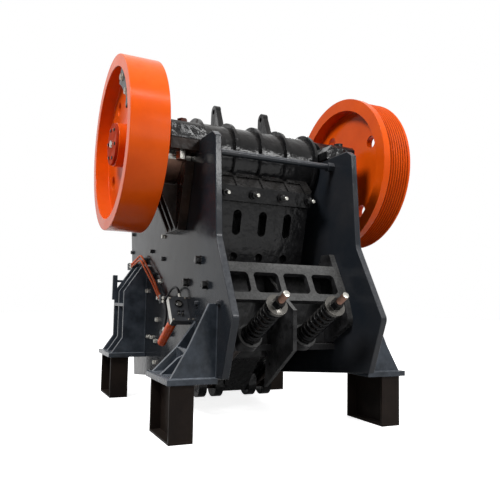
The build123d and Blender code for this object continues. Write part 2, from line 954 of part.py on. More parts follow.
def make_wedge():
    """Bar that pins the swing jaw die's head against the pitman's nose."""
    face_top = (swing_face_y(die_top_drop), -die_top_drop)
    back = along(face_top, swing_face_slope, -die_thickness)
    back = along(back, swing_face_slope + quarter_turn, seat_gap)
    front = along(back, swing_face_slope, wedge_depth)
    with BuildPart() as wedge:
        with BuildSketch(side_view(-die_half_width)):
            with BuildLine():
                Polyline(
                    back,
                    front,
                    along(front, swing_face_slope + quarter_turn, wedge_height - wedge_depth * wedge_tilt),
                    along(back, swing_face_slope + quarter_turn, wedge_height),
                    close=True,
                )
            make_face()
        extrude(amount=2 * die_half_width)
    save(wedge, "jaw_wedge")


def make_cheek_plate(side):
    """Liner on the side plate between the two jaw dies."""
    foot = fixed_die_drop - overrun
    with BuildPart() as cheek:
        with BuildSketch(side_view(side * (inner_half_width - seat_gap))):
            with BuildLine():
                Polyline(
                    (swing_face_y(die_top_drop) + running_gap, -die_top_drop),
                    (fixed_face_y(die_top_drop) - seat_gap, -die_top_drop),
                    (fixed_face_y(foot) - seat_gap, -foot),
                    (swing_face_y(foot) + running_gap, -foot),
                    close=True,
                )
            make_face()
        extrude(amount=-side * cheek_thickness)
    save(cheek, f"cheek_plate_{side_name(side)}")


def make_front_wall():
    """Ribbed casting behind the fixed jaw die, its pockets open to the feed side."""
    half = inner_half_width - seat_gap
    foot = plate_front_drop - wall_foot_rise
    top = feed_top_drop + wall_top_inset
    bay_height = (foot - front_step_drop - wall_rib) / wall_rows
    bay_width = (2 * half - wall_rib) / wall_columns
    with BuildPart() as wall:
        with BuildSketch(side_view(-half)):
            with BuildLine():
                Polyline(
                    (wall_seat_y(foot), -foot),
                    (front_edge_y(foot), -foot),
                    (front_edge_y(front_step_drop), -front_step_drop),
                    (front_reach, -front_step_drop + rear_corner_drop),
                    (front_reach, -top),
                    (wall_seat_y(top), -top),
                    close=True,
                )
            make_face()
        extrude(amount=2 * half)
        for column in range(wall_columns):
            with BuildSketch(side_view(-half + wall_rib + column * bay_width)):
                for row in range(wall_rows):
                    low = foot - wall_rib - row * bay_height
                    high = low - bay_height + wall_rib
                    with BuildLine():
                        Polyline(
                            (wall_seat_y(low) + wall_seat, -low),
                            (front_edge_y(low) + overrun, -low),
                            (front_edge_y(high) + overrun, -high),
                            (wall_seat_y(high) + wall_seat, -high),
                            close=True,
                        )
                    make_face()
            extrude(amount=bay_width - wall_rib, mode=Mode.SUBTRACT)
    save(wall, "front_wall")


def make_toggle_beam():
    """Rear frame casting: windowed slanting face, back wall, end flanges, web and spring bosses."""
    half = inner_half_width - seat_gap
    slope = math.radians(beam_slope)
    boss_start = rod_stub + nut_height + 2 * retainer_thickness + spring_length + 2 * seat_gap

    def on_face(s, depth):
        """Place a distance s down the slanting face and a depth in from it."""
        y = -beam_face_y - s * math.sin(slope) + depth * math.cos(slope)
        z = -beam_face_drop - s * math.cos(slope) - depth * math.sin(slope)
        return (y, z)

    with BuildPart() as beam:
        with BuildSketch(side_view(-half)):
            with BuildLine():
                Polyline(
                    on_face(0, 0),
                    on_face(beam_face_length, 0),
                    on_face(beam_face_length, beam_face_plate),
                    on_face(beam_face_plate, beam_face_plate),
                    (-beam_back_y - beam_plate, -beam_face_drop - beam_plate),
                    (-beam_back_foot_y - beam_plate, -beam_foot_drop + beam_plate),
                    (-beam_back_foot_y - beam_plate - beam_lip, -beam_foot_drop + beam_plate),
                    (-beam_back_foot_y - beam_plate - beam_lip, -beam_foot_drop),
                    (-beam_back_foot_y, -beam_foot_drop),
                    (-beam_back_y, -beam_face_drop),
                    close=True,
                )
            make_face()
        extrude(amount=2 * half)
        for side in (-1, 1):
            with BuildSketch(side_view(side * half)):
                with BuildLine():
                    Polyline(
                        (-beam_back_y, -beam_face_drop),
                        (-end_crown_top_y, -end_crown_drop),
                        (-end_crown_y, -end_crown_drop),
                        on_face(0, 0),
                        on_face(beam_face_length, 0),
                        (-end_belly_y, -end_belly_drop),
                        (-end_heel_y, -end_heel_drop),
                        (-beam_back_foot_y, -beam_foot_drop),
                        close=True,
                    )
                make_face()
            extrude(amount=-side * end_flange)
        belly = beam.edges().filter_by(Axis.X).group_by(Axis.Y)[0]
        fillet(belly, end_fillet)
        for side in (-1, 1):
            with BuildSketch(rod_plane(side, boss_start)):
                Circle(boss_radius)
            extrude(amount=pin_distance - boss_start)
        with BuildSketch(side_view(-half)):
            with BuildLine():
                Polyline(
                    (-beam_back_y, -beam_face_drop),
                    (-beam_back_foot_y, -beam_foot_drop),
                    (-beam_back_foot_y - pin_distance, -beam_foot_drop),
                    (-beam_back_foot_y - pin_distance, -beam_foot_drop - pin_distance),
                    (pin_distance, -beam_foot_drop - pin_distance),
                    (pin_distance, -beam_face_drop),
                    close=True,
                )
            make_face()
        extrude(amount=2 * half, mode=Mode.SUBTRACT)
        with BuildSketch(side_view(-middle_web / 2)):
            with BuildLine():
                Polyline(
                    on_face(beam_face_length - beam_plate, beam_face_plate / 2),
                    (-web_rear_y, -web_top_drop),
                    (-web_rear_y, -web_foot_drop),
                    (-web_tip_y, -web_tip_drop),
                    (-beam_back_foot_y - beam_plate / 2, -beam_foot_drop),
                    (-beam_back_y - beam_plate / 2, -beam_face_drop - beam_plate),
                    close=True,
                )
            make_face()
        extrude(amount=middle_web)
        face_plane = Plane(
            (0, shaft_y - beam_face_y, shaft_height - beam_face_drop),
            x_dir=(1, 0, 0),
            z_dir=(0, -math.cos(slope), math.sin(slope)),
        )
        with BuildSketch(face_plane):
            with Locations((0, -window_top - window_height / 2)):
                with GridLocations(window_pitch, window_height, window_count, 1):
                    RectangleRounded(window_width, window_height, window_corner)
        extrude(amount=-2 * beam_face_plate, mode=Mode.SUBTRACT)
        for side in (-1, 1):
            with BuildSketch(rod_plane(side, boss_start - overrun)):
                Circle(rod_radius + running_gap)
            extrude(amount=pin_distance - boss_start, mode=Mode.SUBTRACT)
        with BuildSketch(side_view(-toggle_half_width - seat_gap)):
            with Locations((-toggle_rear_y - toggle_seat_depth / 2, -toggle_rear_drop)):
                Rectangle(toggle_seat_depth + 2 * seat_gap, toggle_seat_height + 2 * seat_gap)
        extrude(amount=2 * (toggle_half_width + seat_gap), mode=Mode.SUBTRACT)
    save(beam, "toggle_beam")


def make_tension_gear(side):
    """Rod pinned in the pitman's clevis, its spring between two washers, and the nut behind."""
    name = side_name(side)
    pin_y, pin_z = rod_point(pin_distance)
    with BuildPart() as rod:
        with BuildSketch(rod_plane(side, 0)):
            Circle(rod_radius)
        extrude(amount=pin_distance)
        with BuildSketch(side_view(side * rod_x - clevis_half_width)):
            with Locations((pin_y, pin_z)):
                Circle(pin_radius)
        extrude(amount=2 * clevis_half_width)
    save(rod, f"tension_rod_{name}")

    retainer_start = rod_stub + nut_height
    with BuildPart() as retainer:
        with BuildSketch(rod_plane(side, retainer_start)):
            Circle(retainer_radius)
        extrude(amount=retainer_thickness)
        with BuildSketch(rod_plane(side, rod_stub)):
            RegularPolygon(nut_radius, hexagon)
        extrude(amount=nut_height)
        with BuildSketch(rod_plane(side, rod_stub)):
            Circle(rod_radius + seat_gap)
        extrude(amount=nut_height + retainer_thickness, mode=Mode.SUBTRACT)
    save(retainer, f"spring_retainer_{name}")

    spring_start = retainer_start + retainer_thickness + seat_gap
    with BuildPart() as spring:
        with BuildSketch(rod_plane(side, spring_start)):
            Circle(spring_outer_radius)
            Circle(spring_outer_radius - spring_wire, mode=Mode.SUBTRACT)
        extrude(amount=spring_length)
    save(spring, f"tension_spring_{name}")

    with BuildPart() as seat:
        with BuildSketch(rod_plane(side, spring_start + spring_length + seat_gap)):
            RegularPolygon(retainer_radius, seat_sides)
            Circle(rod_radius + running_gap, mode=Mode.SUBTRACT)
        extrude(amount=retainer_thickness - seat_gap)
    save(seat, f"spring_seat_{name}")


def make_toggle():
    """Toggle plate with rounded ends, held between the beam's seat and the pitman's seat."""
    length = math.hypot(toggle_rear_y - toggle_front_y, toggle_front_drop - toggle_rear_drop)
    middle = (-(toggle_rear_y + toggle_front_y) / 2, -(toggle_rear_drop + toggle_front_drop) / 2)
    lean = math.degrees(math.atan2(toggle_rear_drop - toggle_front_drop, toggle_rear_y - toggle_front_y))
    mouth = (toggle_thickness / 2 + seat_gap) * (toggle_front_drop - toggle_rear_drop) / length
    with BuildPart() as toggle:
        with BuildSketch(side_view(-toggle_half_width)):
            with Locations(middle):
                SlotCenterToCenter(length, toggle_thickness, rotation=lean)
        extrude(amount=2 * toggle_half_width)
    save(toggle, "toggle_plate")

    socket = toggle_thickness / 2 + seat_gap
    for name, y, drop, sign in (
        ("toggle_seat_rear", -toggle_rear_y, toggle_rear_drop, -1),
        ("toggle_seat_front", -toggle_front_y, toggle_front_drop, 1),
    ):
        with BuildPart() as seat:
            with BuildSketch(side_view(-toggle_half_width)):
                with Locations((y + sign * (mouth + toggle_seat_depth) / 2, -drop)):
                    Rectangle(toggle_seat_depth - mouth, toggle_seat_height)
                with Locations((y, -drop)):
                    Circle(socket, mode=Mode.SUBTRACT)
            extrude(amount=2 * toggle_half_width)
        save(seat, name)


def make_spacer_rod():
    """Round spacer between the side plates with a long hexagonal nut at each end."""
    half = inner_half_width - seat_gap
    with BuildPart() as rod:
        with BuildSketch(side_view(-half)):
            with Locations((-spacer_y, -spacer_drop)):
                Circle(spacer_radius)
        extrude(amount=2 * half)
        for side in (-1, 1):
            with BuildSketch(side_view(side * half)):
                with Locations((-spacer_y, -spacer_drop)):
                    RegularPolygon(spacer_nut_radius, hexagon)
            extrude(amount=-side * spacer_nut_length)
    save(rod, "spacer_rod")


def make_pump():
    """Hand pump leaning off the left side plate: valve block with gauge and levers, reservoir."""
    lean = math.radians(pump_lean)
    along = (0, math.cos(lean), -math.sin(lean))
    middle_x = -wall_x - pump_width / 2
    front = Plane((middle_x, shaft_y - pump_y, shaft_height - pump_drop), x_dir=(1, 0, 0), z_dir=along)
    with BuildPart() as block:
        with BuildSketch(front):
            Rectangle(pump_width, pump_height)
        extrude(amount=pump_depth)
        with BuildSketch(front):
            with Locations((0, -gauge_offset)):
                Circle(gauge_radius)
            with Locations((0, valve_offset)):
                with GridLocations(valve_spacing, valve_height, valve_count, 1):
                    Rectangle(valve_width, valve_height)
        extrude(amount=gauge_depth, mode=Mode.SUBTRACT)
    save(block, "pump_block")
    with BuildPart() as tank:
        with BuildSketch(front.offset(pump_depth + seat_gap)):
            with Locations((-reservoir_across, reservoir_down)):
                Circle(reservoir_radius)
        extrude(amount=reservoir_length)
    save(tank, "pump_reservoir")


def make_hoses(name, radius, routes):
    """Hoses beside the left plate: six sided tubes of straight runs joined by tangent arcs."""
    with BuildPart() as hoses:
        for route in routes:
            radii = []
            for before, corner, after in zip(route, route[1:], route[2:]):
                run_in = Vector(*corner) - Vector(*before)
                run_out = Vector(*after) - Vector(*corner)
                half_turn = math.radians(run_in.get_angle(run_out)) / 2
                radii.append(arc_share * min(run_in.length, run_out.length) / math.tan(half_turn))
            with BuildLine(side_view(-hose_x)) as path:
                FilletPolyline(*route, radius=radii)
            wire = path.wires()[0]
            end = Plane(wire @ 0, x_dir=(1, 0, 0), z_dir=wire % 0)
            with BuildSketch(end) as section:
                RegularPolygon(radius, hose_sides, rotation=2 * quarter_turn / hose_sides)
            sweep(path=wire)
            print(name, "radii", [round(value) for value in radii], "length", round(wire.length))
        print(name, "volume", round(hoses.part.volume), "section", round(section.sketch.area))
    save(hoses, name)


def make_hydraulics():
    """Setting hoses, pump hoses, the blocks that they end in, and the clips under them."""
    pump_lift = quarter_turn - pump_lean
    pump_top = along((-pump_y, -pump_drop), pump_lift, pump_height / 2 + seat_gap)
    pump_top = along(pump_top, -pump_lean, pump_depth / 2)
    port = along((port_y, -port_drop), port_lean, -port_width / 2 - seat_gap)
    rear = coupling_y - coupling_width / 2 - seat_gap
    front = coupling_y + coupling_width / 2 + seat_gap
    high = -coupling_drop + hose_spacing / 2
    low = -coupling_drop - hose_spacing / 2
    drain = along((drain_y, -drain_drop), drain_lean, -drain_size / 2 - seat_gap)
    port_high = along(port, quarter_turn + port_lean, hose_spacing / 2)
    port_low = along(port, quarter_turn + port_lean, -hose_spacing / 2)

    upper_route = [
        (front, high),
        (395, high),
        (484, -1166),
        (631, -1053),
        (813, -957),
        (966, -878),
        (1069, -819),
        (1156, -818),
        along(port_high, port_lean, -port_run),
        port_high,
    ]
    lower_route = [
        (front, low),
        (405, low),
        (503, -1191),
        (646, -1081),
        (808, -996),
        (955, -912),
        (1063, -852),
        (1152, -851),
        along(port_low, port_lean, -port_run),
        port_low,
    ]
    loop_route = [
        pump_top,
        along(pump_top, pump_lift, pump_run),
        (-88, -1137),
        (-5, -1132),
        (80, -1158),
        (170, high),
        (rear, high),
    ]
    drain_route = [
        (rear, low),
        (188, low),
        (131, -1308),
        (123, -1388),
        along(drain, drain_lean, -drain_run),
        drain,
    ]
    make_hoses("setting_hoses", setting_hose_radius, [upper_route, lower_route])
    make_hoses("pump_hoses", pump_hose_radius, [loop_route, drain_route])

    flat = setting_hose_radius * math.cos(math.pi / hose_sides)
    with BuildPart() as blocks:
        with BuildSketch(side_view(-wall_x)):
            with Locations((coupling_y, -coupling_drop)):
                Rectangle(coupling_width, coupling_height)
            with Locations((port_y, -port_drop)):
                Rectangle(port_width, port_height, rotation=port_lean)
            with Locations((drain_y, -drain_drop)):
                Rectangle(drain_size, drain_size, rotation=drain_lean)
        extrude(amount=-block_depth)
        with BuildSketch(side_view(-wall_x)):
            for first in clip_runs:
                run_in = Vector(*upper_route[first])
                run_out = Vector(*upper_route[first + 1])
                slope = math.degrees(math.atan2(run_out.Y - run_in.Y, run_out.X - run_in.X))
                middle = ((run_in.X + run_out.X) / 2, (run_in.Y + run_out.Y) / 2)
                with Locations(along(middle, slope - quarter_turn, hose_spacing / 2)):
                    Rectangle(clip_width, clip_height, rotation=slope)
        extrude(amount=-(hose_offset - flat - seat_gap))
    save(blocks, "hose_blocks")


for side in (-1, 1):
    make_side_plate(side)
    make_leg(side, -rear_foot_y, "rear")
    make_leg(side, front_foot_y, "front")
    make_rear_foot(side)
    make_front_foot(side)
    make_flywheel(side, grooved=side > 0)
    make_counterweight(side)
    make_hub_cover(side)
    make_bearing(side)
    make_tension_gear(side)
    make_cheek_plate(side)
make_shaft()
make_pitman()
make_die("fixed_jaw_die", fixed_face_y, fixed_die_drop, front_slope, 1)
make_die("swing_jaw_die", swing_face_y, swing_die_drop, swing_face_slope, -1)
make_wedge()
make_front_wall()
make_toggle_beam()
make_toggle()
make_spacer_rod()
make_pump()
make_hydraulics()
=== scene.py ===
"""Looks of a single toggle jaw crusher: paint, castings, bolts, springs and hoses over its solids.

Metres. +X points to the grooved flywheel, +Y to the feed side, +Z up; the ground is z = 0.
Places on the machine are given from the shaft axis: y in front of it and a rise above it.
"""

import logging
import math
from dataclasses import dataclass, field
from enum import Enum

import bmesh
import bpy
import numpy as np
from mathutils import Matrix, Vector
from mathutils.bvhtree import BVHTree


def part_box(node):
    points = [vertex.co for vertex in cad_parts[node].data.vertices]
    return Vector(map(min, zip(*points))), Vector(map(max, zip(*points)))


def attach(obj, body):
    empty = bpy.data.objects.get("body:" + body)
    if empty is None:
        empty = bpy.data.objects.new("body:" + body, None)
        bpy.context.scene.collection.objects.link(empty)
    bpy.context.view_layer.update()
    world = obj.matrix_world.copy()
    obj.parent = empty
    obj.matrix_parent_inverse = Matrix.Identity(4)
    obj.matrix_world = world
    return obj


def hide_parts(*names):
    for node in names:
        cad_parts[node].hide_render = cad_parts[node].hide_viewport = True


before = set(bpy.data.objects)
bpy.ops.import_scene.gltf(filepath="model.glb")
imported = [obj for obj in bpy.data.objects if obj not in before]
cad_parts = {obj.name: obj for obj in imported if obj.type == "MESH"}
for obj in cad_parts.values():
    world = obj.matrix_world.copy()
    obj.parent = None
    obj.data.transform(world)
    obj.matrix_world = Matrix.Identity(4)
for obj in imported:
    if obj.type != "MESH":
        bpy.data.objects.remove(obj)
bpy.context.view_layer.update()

LOG = logging.getLogger("jaw_crusher")
SHAFT_Y, SHAFT_Z = (sum(ends) / 2 for ends in list(zip(*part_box("eccentric_shaft")))[1:])
WALL_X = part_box("side_plate_right")[1][0]
SIDES = {"left": -1, "right": 1}
ROOT = "root"
ROTOR = "rotor"
# Points nearer than this are one point, in a new mesh and in a solid's mesh, in metres
SAME_POINT = 0.000002
SAME_CORNER = 0.00002
# Angles in degrees: faces flatter than the first are one face, edges sharper than the second are
# edges, and a round tube whose edges are sharp only over the third stays smooth
FLAT_ANGLE = 0.6
EDGE_ANGLE = 30.0
ROUND_ANGLE = 80.0


class Finish(Enum):
    """The machine's finishes, each named as a painter or fitter would name it."""

    WHEEL = "orange_gloss_enamel"
    # Painted shade darkens it towards the groove floors
    GROOVE = "orange_enamel_with_painted_groove_shade"
    COVER = "pink_red_primer"
    CASTING = "black_gloss_on_rough_casting"
    # The casting coat made greyer: painted light
    BEAM = "black_gloss_on_casting_with_painted_light"
    BEARING = "brown_black_gloss_on_casting"
    PLATE = "dark_grey_gloss_on_plate"
    # The plates' coat, bluer and lighter by a painted reflection
    FOOT = "plate_gloss_with_painted_blue_reflection"
    LEG = "brown_black_satin_on_plate"
    SPRING = "black_painted_steel"
    PUMP = "grey_pump_paint"
    RESERVOIR = "orange_reservoir_paint"
    RED_BROWN_TOP = "matt_red_brown_top"
    ZINC = "zinc_plated_steel"
    MACHINED = "turned_steel"
    DISC = "worn_steel_disc"
    THREAD = "oiled_brown_thread"
    OILED = "dark_oiled_steel"
    JAW = "cast_manganese_steel"
    ORANGE_HOSE = "orange_hose_cover"
    BLACK_HOSE = "black_hose_cover"
    DIAL = "dial_under_glass"


def linear_colour(hex_code: str) -> tuple[float, float, float, float]:
    """Turn an sRGB hex value into linear red, green, blue and alpha by the standard sRGB curve.

    Args:
        hex_code: six hexadecimal digits, such as "e4571f".

    Returns:
        The linear colour with an alpha of one.
    """
    parts = [int(hex_code[i : i + 2], 16) / 255 for i in (0, 2, 4)]
    linear = [c / 12.92 if c <= 0.04045 else ((c + 0.055) / 1.055) ** 2.4 for c in parts]
    return (linear[0], linear[1], linear[2], 1.0)


def add_node(
    tree: bpy.types.NodeTree, kind: str, settings: dict | None = None, links: dict | None = None
) -> bpy.types.Node:
    """Add one node with its settings and the links that feed it.

    Args:
        tree: the node tree that gets the node.
        kind: the node's type name, such as "ShaderNodeTexNoise".
        settings: attribute names or input sockets and their values.
        links: input sockets and the output sockets that feed them.

    Returns:
        The new node.
    """
    node = tree.nodes.new(kind)
    for key, value in (settings or {}).items():
        if isinstance(key, int) or key in node.inputs:
            node.inputs[key].default_value = value
        else:
            setattr(node, key, value)
    for key, source in (links or {}).items():
        tree.links.new(source, node.inputs[key])
    return node


def blank(name: str) -> tuple:
    """Make a material with only its shader and the place on the object to paint by.

    Args:
        name: name of the material.

    Returns:
        The material, its node tree, its shader and the socket of the place.
    """
    material = bpy.data.materials.new(name)
    material.use_nodes = True
    tree = material.node_tree
    place = add_node(tree, "ShaderNodeTexCoord").outputs["Object"]
    return material, tree, tree.nodes["Principled BSDF"], place


@dataclass(frozen=True)
class Paint:
    """Sprayed alkyd enamel over steel or iron, levelled to a gloss and dusty where it lies flat.

    Grain, lump and patch are wavelengths in metres, relief and swell the heights that go with
    the first two. The orange peel of such a film is about a millimetre wide; it is drawn several
    times wider so that it shows. Specular is the share of the shader's reflection at right angles.
    Where the lumps are low and high, the film is smoother and rougher by the two shares.
    """

    colour: str
    shade: str
    roughness: float = 0.3
    grain: float = 0.012
    relief: float = 0.0006
    lump: float = 0.1
    swell: float = 0.0
    patch: float = 0.35
    specular: float = 0.35
    coat: float = 0.0
    dust: str = "6a6660"
    dusty: float = 0.1
    smoothest_share: float = 0.75
    roughest_share: float = 1.35
    coat_roughness: float = 0.12

    def build(self, name: str) -> bpy.types.Material:
        """Make the material with its nodes.

        Args:
            name: name of the material.

        Returns:
            The material.
        """
        material, tree, shader, place = blank(name)
        blotch = add_node(
            tree, "ShaderNodeTexNoise", {"Scale": 1 / self.patch, "Detail": 5.0, "Roughness": 0.6}, {"Vector": place}
        )
        grain = add_node(
            tree, "ShaderNodeTexNoise", {"Scale": 1 / self.grain, "Detail": 4.0, "Roughness": 0.55}, {"Vector": place}
        )
        lumps = add_node(
            tree, "ShaderNodeTexNoise", {"Scale": 1 / self.lump, "Detail": 3.0, "Roughness": 0.5}, {"Vector": place}
        )
        spread = add_node(
            tree, "ShaderNodeMapRange", {"From Min": 0.35, "From Max": 0.65}, {"Value": blotch.outputs["Fac"]}
        )
        tint = add_node(
            tree,
            "ShaderNodeMix",
            {"data_type": "RGBA", 6: linear_colour(self.colour), 7: linear_colour(self.shade)},
            {0: spread.outputs["Result"]},
        )
        facing = add_node(tree, "ShaderNodeNewGeometry")
        upward = add_node(tree, "ShaderNodeSeparateXYZ", {}, {"Vector": facing.outputs["Normal"]})
        settle = add_node(
            tree,
            "ShaderNodeMapRange",
            {"From Min": 0.1, "From Max": 0.8, "To Min": 0.0, "To Max": 2 * self.dusty},
            {"Value": upward.outputs["Z"]},
        )
        drift = add_node(
            tree, "ShaderNodeMath", {"operation": "MULTIPLY"}, {0: settle.outputs["Result"], 1: grain.outputs["Fac"]}
        )
        dust_and_shade_mix = add_node(
            tree,
            "ShaderNodeMix",
            {"data_type": "RGBA", 7: linear_colour(self.dust)},
            {0: drift.outputs["Value"], 6: tint.outputs[2]},
        )
        smoothest, roughest = self.roughness * self.smoothest_share, self.roughness * self.roughest_share
        gloss = add_node(
            tree,
            "ShaderNodeMapRange",
            {"From Min": 0.3, "From Max": 0.7, "To Min": smoothest, "To Max": roughest},
            {"Value": lumps.outputs["Fac"]},
        )
        coarse = add_node(
            tree, "ShaderNodeBump", {"Strength": 1.0, "Distance": self.swell}, {"Height": lumps.outputs["Fac"]}
        )
        fine = add_node(
            tree,
            "ShaderNodeBump",
            {"Strength": 1.0, "Distance": self.relief},
            {"Height": grain.outputs["Fac"], "Normal": coarse.outputs["Normal"]},
        )
        tree.links.new(dust_and_shade_mix.outputs[2], shader.inputs["Base Color"])
        tree.links.new(gloss.outputs["Result"], shader.inputs["Roughness"])
        tree.links.new(fine.outputs["Normal"], shader.inputs["Normal"])
        tree.links.new(coarse.outputs["Normal"], shader.inputs["Coat Normal"])
        shader.inputs["Specular IOR Level"].default_value = self.specular
        shader.inputs["Coat Weight"].default_value = self.coat
        shader.inputs["Coat Roughness"].default_value = self.coat_roughness
        return material


@dataclass(frozen=True)
class GroovePaint(Paint):
    """The same enamel in the belt grooves, darkened towards their floors by painted shade.

    The share of painted shade falls evenly with the distance from the shaft axis, from the floor's radius
    to the crest's.
    """

    # Colour of the painted shade at the groove floors
    floor: str = "5c2206"
    floor_radius: float = 0.680
    crest_radius: float = 0.698

    def build(self, name: str) -> bpy.types.Material:
        """Make the material with its nodes.

        Args:
            name: name of the material.

        Returns:
            The material.
        """
        material = super().build(name)
        tree = material.node_tree
        colour = tree.nodes["Principled BSDF"].inputs["Base Color"]
        painted = colour.links[0].from_socket
        place = add_node(tree, "ShaderNodeTexCoord").outputs["Object"]
        moved = add_node(tree, "ShaderNodeVectorMath", {"operation": "SUBTRACT", 1: (0, SHAFT_Y, SHAFT_Z)}, {0: place})
        flat = add_node(
            tree, "ShaderNodeVectorMath", {"operation": "MULTIPLY", 1: (0, 1, 1)}, {0: moved.outputs["Vector"]}
        )
        radius = add_node(tree, "ShaderNodeVectorMath", {"operation": "LENGTH"}, {0: flat.outputs["Vector"]})
        height = add_node(
            tree,
            "ShaderNodeMapRange",
            {"From Min": self.floor_radius, "From Max": self.crest_radius},
            {"Value": radius.outputs["Value"]},
        )
        # Painted shade: the floor colour mixed in towards the groove floors
        dust_and_shade_mix = add_node(
            tree,
            "ShaderNodeMix",
            {"data_type": "RGBA", 6: linear_colour(self.floor)},
            {0: height.outputs["Result"], 7: painted},
        )
        tree.links.new(dust_and_shade_mix.outputs[2], colour)
        return material


@dataclass(frozen=True)
class BareMetal:
    """Turned, plated or cast steel without paint, with fine tool marks under a thin film of oil.

    Grain is the marks' wavelength in metres and relief their height. The stains of the oil are
    wider: the stain share is the marks' wavelength over theirs.
    """

    colour: str
    shade: str
    roughness: float = 0.35
    grain: float = 0.006
    relief: float = 0.0003
    metallic: float = 1.0
    stain_share: float = 0.1
    smoothest_share: float = 0.7
    roughest_share: float = 1.4

    def build(self, name: str) -> bpy.types.Material:
        """Make the material with its nodes.

        Args:
            name: name of the material.

        Returns:
            The material.
        """
        material, tree, shader, place = blank(name)
        grain = add_node(tree, "ShaderNodeTexNoise", {"Scale": 1 / self.grain, "Detail": 3.0}, {"Vector": place})
        stain_scale = self.stain_share / self.grain
        stain = add_node(tree, "ShaderNodeTexNoise", {"Scale": stain_scale, "Detail": 4.0}, {"Vector": place})
        tint = add_node(
            tree,
            "ShaderNodeMix",
            {"data_type": "RGBA", 6: linear_colour(self.colour), 7: linear_colour(self.shade)},
            {0: stain.outputs["Fac"]},
        )
        smoothest, roughest = self.roughness * self.smoothest_share, self.roughness * self.roughest_share
        gloss = add_node(
            tree,
            "ShaderNodeMapRange",
            {"From Min": 0.3, "From Max": 0.7, "To Min": smoothest, "To Max": roughest},
            {"Value": stain.outputs["Fac"]},
        )
        bump = add_node(tree, "ShaderNodeBump", {"Distance": self.relief}, {"Height": grain.outputs["Fac"]})
        tree.links.new(tint.outputs[2], shader.inputs["Base Color"])
        tree.links.new(gloss.outputs["Result"], shader.inputs["Roughness"])
        tree.links.new(bump.outputs["Normal"], shader.inputs["Normal"])
        shader.inputs["Metallic"].default_value = self.metallic
        return material


@dataclass(frozen=True)
class Rubber:
    """Extruded hose cover: satin synthetic rubber over the faint weave of its braid.

    Braid is the weave's wavelength in metres, drawn about twice the real one so that it shows,
    relief its height, and grime the number of stains to the metre.
    """

    colour: str
    shade: str
    braid: float = 0.004
    relief: float = 0.0003
    grime: float = 9.0
    roughness: float = 0.45
    specular: float = 0.1

    def build(self, name: str) -> bpy.types.Material:
        """Make the material with its nodes.

        Args:
            name: name of the material.

        Returns:
            The material.
        """
        material, tree, shader, place = blank(name)
        weave = add_node(tree, "ShaderNodeTexVoronoi", {"Scale": 1 / self.braid}, {"Vector": place})
        grime = add_node(tree, "ShaderNodeTexNoise", {"Scale": self.grime, "Detail": 5.0}, {"Vector": place})
        tint = add_node(
            tree,
            "ShaderNodeMix",
            {"data_type": "RGBA", 6: linear_colour(self.colour), 7: linear_colour(self.shade)},
            {0: grime.outputs["Fac"]},
        )
        bump = add_node(tree, "ShaderNodeBump", {"Distance": self.relief}, {"Height": weave.outputs["Distance"]})
        tree.links.new(tint.outputs[2], shader.inputs["Base Color"])
        tree.links.new(bump.outputs["Normal"], shader.inputs["Normal"])
        shader.inputs["Roughness"].default_value = self.roughness
        shader.inputs["Specular IOR Level"].default_value = self.specular
        return material


